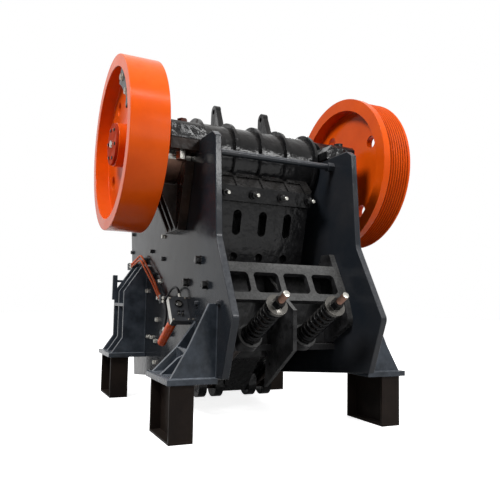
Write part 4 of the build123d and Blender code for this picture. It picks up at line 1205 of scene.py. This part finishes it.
@dataclass
class Bearings:
    """Housings, caps and brackets with their cover rings and cap studs."""

    edge: float = 0.004
    ring_inner: float = 0.124
    ring_outer: float = 0.245
    ring_thickness: float = 0.018
    ring_sunk: float = 0.001
    ring_columns: int = 72
    # Shares of the ring's thickness and of its bore that shape its rim and the lip round the shaft
    chamfer_share: float = 0.25
    lip_height_share: float = 1.5
    lip_round_share: float = 0.2
    lip_foot_share: float = 1.35
    lip_top_share: float = 1.3
    ring_bolts: int = 8
    ring_turn: float = 22.0
    ring_bolt: Fastener = Fastener(0.03, 0.014, 0.021, 0.003)
    ring_circle: float = 0.215
    cap_rise: float = 0.151
    housing_drop: float = 0.083
    shank_drop: float = 0.115
    nut: Fastener = Fastener(0.072, 0.034, 0.044, 0.006)

    def build(self, shop: Shop) -> None:
        """Break the castings' edges and add what is bolted to them.

        Args:
            shop: where materials come from.
        """
        for name, side in SIDES.items():
            shop.soften(f"bearing_bracket_{name}", ROOT, Finish.BEARING, self.edge)
            cap = shop.soften(f"bearing_cap_{name}", ROOT, Finish.CASTING, self.edge)
            # The top of the left cap alone is drawn matt red brown
            if name == "left":
                shop.accent(cap, Finish.RED_BROWN_TOP, beyond(cap, from_shaft(0, 0, self.cap_rise), (0, 0, 1)))
            housing = shop.soften(f"bearing_housing_{name}", ROOT, Finish.BEARING, self.edge)
            shop.accent(housing, Finish.ZINC, beyond(housing, from_shaft(0, 0, -self.housing_drop), (0, 0, -1)))
            shop.accent(housing, Finish.THREAD, beyond(housing, from_shaft(0, 0, -self.shank_drop), (0, 0, -1)))
            self.cover_ring(shop, name, side)

    def cover_ring(self, shop: Shop, name: str, side: int) -> None:
        """Set the ring that closes a bearing round the shaft, with its bolts.

        Args:
            shop: where materials come from.
            name: "left" or "right".
            side: -1 for left or 1 for right.
        """
        x = side * max(abs(corner[0]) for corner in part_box(f"bearing_housing_{name}"))
        t, inner, outer = self.ring_thickness, self.ring_inner, self.ring_outer
        lip = t * self.lip_height_share
        rings = np.array(
            [
                (inner, 0, -self.ring_sunk),
                (outer, 0, -self.ring_sunk),
                (outer, 0, t * (1 - self.chamfer_share)),
                (outer - t * self.chamfer_share, 0, t),
                (inner * self.lip_foot_share, 0, t),
                (inner * self.lip_top_share, 0, lip),
                (inner + t * self.lip_round_share, 0, lip),
                (inner, 0, t * (self.lip_height_share - self.lip_round_share)),
            ]
        )
        axis = np.array([[side, 0.0, 0.0]])
        ring = turned(rings, from_shaft(np.array([x]), 0, 0), axis, self.ring_columns)
        shop.publish(mesh_object(f"bearing_ring_{name}", ring, wrap_rows=True), ROOT, Finish.CASTING)
        angle = np.radians(np.arange(self.ring_bolts) * 360 / self.ring_bolts + self.ring_turn)
        face = side * (abs(x) + t)
        places = from_shaft(face, self.ring_circle * np.cos(angle), self.ring_circle * np.sin(angle))
        bolts = self.ring_bolt.copies(places, np.tile(axis, (self.ring_bolts, 1)))
        shop.publish(mesh_object(f"ring_bolts_{name}", bolts), ROOT, Finish.MACHINED)


@dataclass
class SwingJaw:
    """Ribbed swing jaw casting, its die and wedge, and the long bolts along its flange."""

    edge: float = 0.006
    die_edge: float = 0.003
    ray_start: float = -1.5
    flange_rise: float = -0.376
    flange_xs: tuple = (-0.390, -0.130, 0.130, 0.390)
    flange_nut: Fastener = Fastener(0.055, 0.03, 0.042, 0.016)
    stud_radius: float = 0.017
    stud_length: float = 0.052
    stud_sunk: float = 0.001
    stud_tip_height: float = 0.006
    stud_tip_inset: float = 0.005
    stud_columns: int = 20
    # Sheet between the ribs, from under the barrel to the flange: y and rise of its rear face
    sheet_line: tuple = ((-0.2145, -0.172), (-0.262, -0.226), (-0.308, -0.277), (-0.345, -0.319))
    sheet_half_width: float = 0.418
    sheet_thickness: float = 0.012

    def build(self, shop: Shop) -> None:
        """Break the castings' edges, close the cells and set the flange bolts.

        Args:
            shop: where materials come from.
        """
        shop.soften("pitman", ROOT, Finish.CASTING, self.edge, 3)
        shop.soften("swing_jaw_die", ROOT, Finish.JAW, self.die_edge)
        shop.soften("jaw_wedge", ROOT, Finish.JAW, self.die_edge)
        self.close_cells(shop)
        starts = from_shaft(np.array(self.flange_xs), self.ray_start, self.flange_rise)
        places, axes = struck("pitman", starts, (0, 1, 0))
        shop.publish(mesh_object("flange_nuts", self.flange_nut.copies(places, axes)), ROOT, Finish.CASTING)
        foot = self.flange_nut.washer_thickness + self.flange_nut.head_height - self.stud_sunk
        radius, tip = self.stud_radius, foot + self.stud_length
        rings = np.array(
            [
                (0, 0, foot),
                (radius, 0, foot),
                (radius, 0, tip - self.stud_tip_height),
                (radius - self.stud_tip_inset, 0, tip),
                (0, 0, tip),
            ]
        )
        studs = mesh_object("flange_studs", turned(rings, places, axes, self.stud_columns))
        shop.publish(studs, ROOT, Finish.ZINC)

    def close_cells(self, shop: Shop) -> None:
        """Close the cells between the barrel's ribs with a sheet of even thickness.

        The sheet is a closed strip: its rear line at both ends, moved inwards by its thickness
        on the way back, and carried straight across the machine.

        Args:
            shop: where materials come from.
        """
        line = np.array(self.sheet_line)
        run = unit(np.gradient(line, axis=0))
        inward = line + self.sheet_thickness * np.stack([-run[:, 1], run[:, 0]], axis=-1)
        ring = np.concatenate([line, inward[::-1]])
        middle = ring.mean(axis=0)[None]
        w = self.sheet_half_width
        rows = [(np.repeat(middle, len(ring), 0), -w), (ring, -w), (ring, w), (np.repeat(middle, len(ring), 0), w)]
        grid = np.stack([from_shaft(x, points[:, 0], points[:, 1]) for points, x in rows])
        shop.publish(mesh_object("barrel_skirt", grid[None]), ROOT, Finish.CASTING)


@dataclass
class Chamber:
    """Fixed jaw: front wall, its toothed die and the cheek plates with their bolts."""

    edge: float = 0.004
    die_edge: float = 0.003
    cheek_edge: float = 0.002

    def build(self, shop: Shop) -> None:
        """Break the edges of what lines the crushing chamber.

        Args:
            shop: where materials come from.
        """
        shop.soften("front_wall", ROOT, Finish.CASTING, self.edge)
        shop.soften("fixed_jaw_die", ROOT, Finish.JAW, self.die_edge)
        for name in SIDES:
            shop.soften(f"cheek_plate_{name}", ROOT, Finish.JAW, self.cheek_edge)


@dataclass
class ToggleGear:
    """Toggle beam with its windows, the toggle plate and its seats, and the spacer rod."""

    edge: float = 0.005
    plate_edge: float = 0.004
    turned_edge: float = 0.002

    def build(self, shop: Shop) -> None:
        """Break the edges of the beam and paint what it holds.

        Args:
            shop: where materials come from.
        """
        # The beam wears a greyer copy of the casting coat, painted light on its bars
        shop.soften("toggle_beam", ROOT, Finish.BEAM, self.edge, 3)
        shop.soften("toggle_plate", ROOT, Finish.SPRING, self.plate_edge)
        for end in ("rear", "front"):
            shop.soften(f"toggle_seat_{end}", ROOT, Finish.SPRING, self.turned_edge)
        shop.soften("spacer_rod", ROOT, Finish.PLATE, self.turned_edge)


@dataclass
class Tensioners:
    """Two threaded rods with real coil springs between their washers."""

    slope: float = 30.0
    rod_x: float = 0.240
    tip_y: float = -1.153
    tip_rise: float = -1.187
    spring_start: float = 0.1822
    spring_end: float = 0.6022
    coil_radius: float = 0.0625
    wire_radius: float = 0.0115
    live_turns: float = 6.5
    thread_pitch: float = 0.006
    thread_depth: float = 0.0015
    thread_length: float = 0.094
    thread_columns: int = 24
    thread_proud: float = 0.0005
    rod_radius: float = 0.0243
    tip_share: float = 0.9
    tip_depth: float = 0.002
    cap_angle: float = 60.0
    nut_end: float = 0.1515
    edge: float = 0.002
    wire_columns: int = 12
    steps_per_turn: int = 32
    steps_per_pitch: int = 6

    def build(self, shop: Shop) -> None:
        """Wind the springs and cut the rods' threads.

        Args:
            shop: where materials come from.
        """
        for name, side in SIDES.items():
            self.spring(shop, name, side)
            self.rod_thread(shop, name, side)
            shop.paint(f"tension_rod_{name}", Finish.OILED)
            retainer = shop.soften(f"spring_retainer_{name}", ROOT, Finish.DISC, self.edge)
            along = self.axes()[2]
            nut_foot = from_shaft(side * self.rod_x, self.tip_y, self.tip_rise) + along * self.nut_end
            shop.accent(retainer, Finish.SPRING, beyond(retainer, nut_foot, tuple(-along)))
            shop.soften(f"spring_seat_{name}", ROOT, Finish.SPRING, self.edge)

    def axes(self) -> tuple[np.ndarray, np.ndarray, np.ndarray]:
        """Work out the directions that a rod gives.

        Returns:
            The direction across it, the one over it and its own, forwards and down.
        """
        lean = math.radians(self.slope)
        across = np.array([1.0, 0.0, 0.0])
        along = np.array([0.0, math.cos(lean), -math.sin(lean)])
        return across, np.cross(along, across), along

    def spring(self, shop: Shop, name: str, side: int) -> None:
        """Wind one spring with closed ends.

        The centre of the wire turns about the rod. Its advance for an angle is slow over the
        first and last turn, where the coils touch, and even between them.

        Args:
            shop: where materials come from.
            name: "left" or "right".
            side: -1 for left or 1 for right.
        """
        across, over, along = self.axes()
        tip = from_shaft(side * self.rod_x, self.tip_y, self.tip_rise)
        length = self.spring_end - self.spring_start - 2 * self.wire_radius
        turns = self.live_turns + 2
        t = np.linspace(0, turns, int(turns * self.steps_per_turn))
        closed = 2 * self.wire_radius
        advance = np.interp(t, [0, 1, turns - 1, turns], [0, closed, length - closed, length])
        angle = 2 * np.pi * t[:, None]
        start = tip + along * (self.spring_start + self.wire_radius)
        path = start + along * advance[:, None] + self.coil_radius * (np.cos(angle) * across + np.sin(angle) * over)
        run = unit(np.gradient(path, axis=0))
        outward = unit(np.cross(run, along))
        upward = np.cross(run, outward)
        turn = np.linspace(0, 2 * np.pi, self.wire_columns, endpoint=False)[None, :, None]
        tube = path[:, None] + self.wire_radius * (outward[:, None] * np.cos(turn) + upward[:, None] * np.sin(turn))
        ends = [np.broadcast_to(path[i], (1, self.wire_columns, 3)) for i in (0, -1)]
        wire = mesh_object(f"coil_spring_{name}", np.concatenate([ends[0], tube, ends[1]])[None], sharp=ROUND_ANGLE)
        shop.publish(wire, ROOT, Finish.SPRING, f"tension_spring_{name}")

    def rod_thread(self, shop: Shop, name: str, side: int) -> None:
        """Cut the thread on the end of a rod that stands out behind its nut.

        A point's radius is the rod's plus the thread's depth times a triangle wave of its
        advance over the pitch less its angle over a full turn, so that the crest is a helix.

        Args:
            shop: where materials come from.
            name: "left" or "right".
            side: -1 for left or 1 for right.
        """
        across, over, along = self.axes()
        tip = from_shaft(side * self.rod_x, self.tip_y, self.tip_rise) - along * self.thread_proud
        rows = int(self.thread_length / self.thread_pitch * self.steps_per_pitch)
        advance = np.linspace(0.0, self.thread_length, rows)[:, None]
        angle = np.linspace(0, 2 * np.pi, self.thread_columns, endpoint=False)[None, :]
        phase = (advance / self.thread_pitch - angle / (2 * np.pi)) % 1.0
        radius = self.rod_radius + self.thread_depth * (1 - np.abs(2 * phase - 1))
        radius[0] = self.rod_radius * self.tip_share
        tube = (
            tip
            + along * advance[..., None]
            + across * (radius * np.cos(angle))[..., None]
            + over * (radius * np.sin(angle))[..., None]
        )
        flat = (1, self.thread_columns, 3)
        caps = [np.broadcast_to(tip + along * reach, flat) for reach in (0, self.thread_length)]
        grid = np.concatenate([caps[0], tube, caps[1]])[None]
        thread = mesh_object(f"rod_thread_{name}", grid, sharp=self.cap_angle)
        shop.publish(thread, ROOT, Finish.THREAD)
        shop.accent(thread, Finish.ZINC, beyond(thread, tip + along * self.tip_depth, tuple(-along)))


@dataclass
class Hydraulics:
    """Hand pump with its gauge, levers and reservoir, and the hoses between their fittings."""

    hose_x: float = -0.6702
    setting_radius: float = 0.010
    pump_radius: float = 0.0095
    hose_columns: int = 16
    fitting_reach: float = 0.045
    fitting_rings: int = 24
    # Shares of the hose's radius: the crimped sleeve, its ripples and the collar at its end
    sleeve_share: float = 1.35
    ripple_share: float = 0.12
    collar_share: float = 1.75
    ripples: int = 3
    collar_rings: int = 7
    # Routes in front of the shaft axis and above it, from one fitting to the other
    routes: dict = field(
        default_factory=lambda: {
            "setting_hose_upper": (
                (0.3152, -1.228),
                (0.3800, -1.205),
                (0.4950, -1.122),
                (0.6550, -1.018),
                (0.8250, -0.928),
                (0.9850, -0.842),
                (1.0850, -0.797),
                (1.1800, -0.812),
                (1.3635, -0.8527),
                (1.5022, -0.8722),
            ),
            "setting_hose_lower": (
                (0.3152, -1.258),
                (0.3950, -1.232),
                (0.5150, -1.155),
                (0.6460, -1.078),
                (0.8080, -0.996),
                (0.9550, -0.918),
                (1.0630, -0.853),
                (1.1520, -0.848),
                (1.3594, -0.8824),
                (1.4980, -0.9019),
            ),
            "pump_hose_loop": (
                (-0.1948, -1.2359),
                (-0.1640, -1.170),
                (-0.0880, -1.139),
                (0.0050, -1.145),
                (0.0850, -1.178),
                (0.1700, -1.232),
                (0.2648, -1.228),
            ),
            "pump_hose_drain": (
                (0.2648, -1.258),
                (0.1980, -1.268),
                (0.1550, -1.320),
                (0.1500, -1.390),
                (0.1860, -1.456),
                (0.2266, -1.5148),
            ),
        }
    )
    cap_angle: float = 60.0
    block_edge: float = 0.002
    reservoir_edge: float = 0.003
    face_margin: float = 0.001
    round_columns: int = 40
    small_columns: int = 16
    # The pump's face with the gauge: its middle, its lean and its half sizes
    pump_x: float = -0.7012
    pump_y: float = -0.280
    pump_rise: float = -1.312
    lean: float = 33.0
    half_width: float = 0.075
    half_height: float = 0.110
    gauge_up: float = 0.044
    gauge_radius: float = 0.027
    # Profile of the gauge's ring: reach past the gauge's radius, hexagon (0 for none) and height
    gauge_ring: tuple = (
        (-0.002, 0, -0.002),
        (0.006, 0, -0.002),
        (0.006, 0, 0.009),
        (0.0, 0, 0.012),
        (-0.004, 0, 0.007),
    )
    dial_gap: float = 0.001
    dial_shoulder_share: float = 0.6
    # Heights of the dial's foot, rim, shoulder and crown
    dial_heights: tuple = (-0.004, 0.001, 0.003, 0.0038)
    # Ends of the gauge's hand: across and down from the dial's middle, and its radius there
    hand_across: tuple = (0.004, -0.014)
    hand_down: tuple = (0.006, -0.012)
    hand_radii: tuple = (0.0016, 0.0006)
    hand_out: float = 0.0045
    hand_steps: int = 6
    hand_columns: int = 8
    screw_inset: float = 0.013
    lever_down: float = 0.050
    lever_apart: float = 0.017
    lever_tilt: float = 14.0
    lever_sunk: float = 0.006
    lever_stem: tuple = ((0, 0, 0), (0.006, 0, 0), (0.0045, 0, 0.034), (0, 0, 0.034))
    knob_radius: float = 0.009
    knob_reach: float = 0.038
    knob_rings: int = 9
    screw: Fastener = Fastener(0.012, 0.006, 0.008, 0.001)
    reservoir_x: float = -0.7412
    reservoir_down: float = 0.068
    reservoir_start: float = 0.0602
    reservoir_length: float = 0.36
    reservoir_radius: float = 0.036
    clamp_start: float = 0.006
    # Profile of the clamping ring: reach past the reservoir's radius, hexagon and height
    clamp_ring: tuple = ((-0.001, 0, 0), (0.004, 0, 0.001), (0.004, 0, 0.019), (-0.001, 0, 0.02))
    plug_sunk: float = 0.001
    plug_columns: int = 24
    # Profile of the plug: round radius, hexagon half width and height
    plug: tuple = (
        (0, 0, -0.002),
        (0.018, 0, -0.002),
        (0.018, 0, 0.003),
        (0.011, 0.0095, 0.004),
        (0.011, 0.0095, 0.012),
        (0, 0, 0.012),
    )

    def build(self, shop: Shop) -> None:
        """Build the pump and lay the hoses.

        Args:
            shop: where materials come from.
        """
        block = shop.soften("pump_block", ROOT, Finish.PUMP, self.block_edge)
        outer = from_shaft(self.pump_x - self.half_width + self.face_margin, 0, 0)
        shop.accent(block, Finish.ZINC, beyond(block, outer, (-1, 0, 0)))
        shop.soften("pump_reservoir", ROOT, Finish.RESERVOIR, self.reservoir_edge)
        shop.soften("hose_blocks", ROOT, Finish.PUMP, self.block_edge)
        self.hoses(shop)
        self.gauge(shop)
        self.levers(shop)
        self.reservoir_rings(shop)

    def hoses(self, shop: Shop) -> None:
        """Lay each hose along its line, with a crimped fitting over both of its ends.

        Args:
            shop: where materials come from.
        """
        for pair, node, radius, finish in (
            (("setting_hose_upper", "setting_hose_lower"), "setting_hoses", self.setting_radius, Finish.ORANGE_HOSE),
            (("pump_hose_loop", "pump_hose_drain"), "pump_hoses", self.pump_radius, Finish.BLACK_HOSE),
        ):
            for route in pair:
                line = self.line(route)
                tube = carried(line, radius, self.hose_columns, closed=True)
                hose = mesh_object(route, tube, sharp=self.cap_angle)
                shop.publish(hose, ROOT, finish, node)
                sleeves = [self.fitting(line, radius, "start"), self.fitting(line[::-1], radius, "end")]
                fittings = shop.publish(joined(f"{route}_fittings", sleeves), ROOT, Finish.ZINC)

    def fitting(self, line: np.ndarray, radius: float, name: str) -> bpy.types.Object:
        """Make the crimped sleeve over the end of a hose, its radius rippled by a sine.

        Args:
            line: the hose's centre, from the end that the fitting is on.
            radius: radius of the hose.
            name: name of the new object.

        Returns:
            The fitting.
        """
        run = np.concatenate([[0.0], np.cumsum(np.linalg.norm(np.diff(line, axis=0), axis=1))])
        at = np.linspace(0.0, self.fitting_reach, self.fitting_rings)
        path = np.stack([np.interp(at, run, line[:, i]) for i in range(3)], axis=-1)
        wave = np.sin(at / self.fitting_reach * 2 * self.ripples * np.pi)
        swell = radius * (self.sleeve_share + self.ripple_share * wave)
        swell[: self.collar_rings] = radius * self.collar_share
        return mesh_object(f"fitting_{name}", carried(path, swell, closed=True))

    def line(self, route: str) -> np.ndarray:
        """Return points along the smooth spline whose control points are a hose's route.

        Args:
            route: name of the route.

        Returns:
            Points in order, read from the curve that Blender makes.
        """
        spots = np.array(self.routes[route])
        places = from_shaft(self.hose_x, spots[:, 0], spots[:, 1])
        data = bpy.data.curves.new(route, "CURVE")
        data.dimensions = "3D"
        data.resolution_u = 10
        spline = data.splines.new("NURBS")
        spline.points.add(len(places) - 1)
        spline.points.foreach_set("co", np.c_[places, np.ones(len(places))].ravel())
        spline.order_u = 3
        spline.use_endpoint_u = True
        holder = bpy.data.objects.new(route, data)
        bpy.context.scene.collection.objects.link(holder)
        bpy.context.view_layer.update()
        mesh = bpy.data.meshes.new_from_object(holder)
        points = np.empty(len(mesh.vertices) * 3)
        mesh.vertices.foreach_get("co", points)
        bpy.data.meshes.remove(mesh)
        bpy.data.objects.remove(holder)
        return points.reshape(-1, 3)

    def axes(self) -> tuple[np.ndarray, np.ndarray]:
        """Work out the directions that the leaning pump gives.

        Returns:
            The reservoir's direction, away from the gauge, and the one down the pump's face.
        """
        lean = math.radians(self.lean)
        along = np.array([0.0, math.cos(lean), -math.sin(lean)])
        down = np.array([0.0, -math.sin(lean), -math.cos(lean)])
        return along, down

    def on_face(self, across: np.ndarray, down: np.ndarray, out: float = 0.0) -> np.ndarray:
        """Place points on the pump's face with the gauge.

        Args:
            across: distances from its middle, across the machine.
            down: distances from its middle, down the face.
            out: distance out of the face.

        Returns:
            Places, one row each.
        """
        along, fall = self.axes()
        middle = from_shaft(self.pump_x, self.pump_y, self.pump_rise) - out * along
        return middle + across[:, None] * np.array([1.0, 0.0, 0.0]) + down[:, None] * fall

    def gauge(self, shop: Shop) -> None:
        """Set the gauge's ring and dial over its recess, its hand, and the face's four screws.

        Args:
            shop: where materials come from.
        """
        middle = self.on_face(np.array([0.0]), np.array([-self.gauge_up]))
        axis = -self.axes()[0][None]
        ring = np.array(self.gauge_ring) + (self.gauge_radius, 0, 0)
        around = turned(ring, middle, axis, self.round_columns)
        shop.publish(mesh_object("gauge_ring", around, wrap_rows=True), ROOT, Finish.SPRING)
        foot, rim, shoulder, crown = self.dial_heights
        r = self.gauge_radius - self.dial_gap
        low = self.gauge_radius * self.dial_shoulder_share
        dial = np.array([(0, 0, foot), (r, 0, foot), (r, 0, rim), (low, 0, shoulder), (0, 0, crown)])
        shop.publish(mesh_object("gauge_dial", turned(dial, middle, axis, self.round_columns)), ROOT, Finish.DIAL)
        ends = self.on_face(np.array(self.hand_across), np.array(self.hand_down) - self.gauge_up, self.hand_out)
        path = ends[0] + (ends[1] - ends[0]) * np.linspace(0, 1, self.hand_steps)[:, None]
        taper = np.linspace(*self.hand_radii, self.hand_steps)
        hand = mesh_object("gauge_hand", carried(path, taper, self.hand_columns, closed=True))
        shop.publish(hand, ROOT, Finish.SPRING)
        w, h = self.half_width - self.screw_inset, self.half_height - self.screw_inset
        corners = self.on_face(np.array([-w, w, w, -w]), np.array([-h, -h, h, h]))
        screws = mesh_object("pump_screws", self.screw.copies(corners, np.tile(axis, (4, 1))))
        shop.publish(screws, ROOT, Finish.MACHINED)

    def levers(self, shop: Shop) -> None:
        """Set the two valve levers in their slots: a turned stem that ends in a round knob.

        Args:
            shop: where materials come from.
        """
        along, down = self.axes()
        tilt = math.radians(self.lever_tilt)
        axes = np.tile(-math.cos(tilt) * along - math.sin(tilt) * down, (2, 1))
        spread = np.array([-self.lever_apart, self.lever_apart])
        places = self.on_face(spread, np.full(2, self.lever_down), -self.lever_sunk)
        stems = turned(np.array(self.lever_stem), places, axes, self.small_columns)
        shop.publish(mesh_object("lever_stems", stems), ROOT, Finish.ZINC)
        t = np.linspace(0, np.pi, self.knob_rings)
        height = self.knob_reach - self.knob_radius * np.cos(t)
        knob = np.stack([self.knob_radius * np.sin(t), np.zeros(self.knob_rings), height], axis=-1)
        knobs = turned(knob, places, axes, self.small_columns)
        shop.publish(mesh_object("lever_knobs", knobs, sharp=ROUND_ANGLE), ROOT, Finish.SPRING)

    def reservoir_rings(self, shop: Shop) -> None:
        """Set the clamping ring at the reservoir's head and the cap with its plug at its foot.

        Args:
            shop: where materials come from.
        """
        along, down = self.axes()
        start = from_shaft(self.reservoir_x, self.pump_y, self.pump_rise) + down * self.reservoir_down
        head = start + along * (self.reservoir_start + self.clamp_start)
        foot = start + along * (self.reservoir_start + self.reservoir_length - self.plug_sunk)
        ring = np.array(self.clamp_ring) + (self.reservoir_radius, 0, 0)
        around = turned(ring, head[None], along[None], self.round_columns)
        shop.publish(mesh_object("reservoir_clamp", around, wrap_rows=True), ROOT, Finish.SPRING)
        plug = turned(np.array(self.plug), foot[None], along[None], self.plug_columns)
        shop.publish(mesh_object("reservoir_plug", plug), ROOT, Finish.ZINC)


def main() -> None:
    """Build the studio and the machine's sub-assemblies in order."""
    logging.basicConfig(level=logging.INFO, format="%(name)s: %(message)s")
    studio = Studio()
    studio.place_camera()
    studio.place_lamps()
    studio.lay_floor()
    shop = Shop()
    for assembly in (
        SidePlates(),
        Footing(),
        Flywheels(),
        Bearings(),
        SwingJaw(),
        Chamber(),
        ToggleGear(),
        Tensioners(),
        Hydraulics(),
    ):
        assembly.build(shop)


if __name__ == "__main__":
    main()
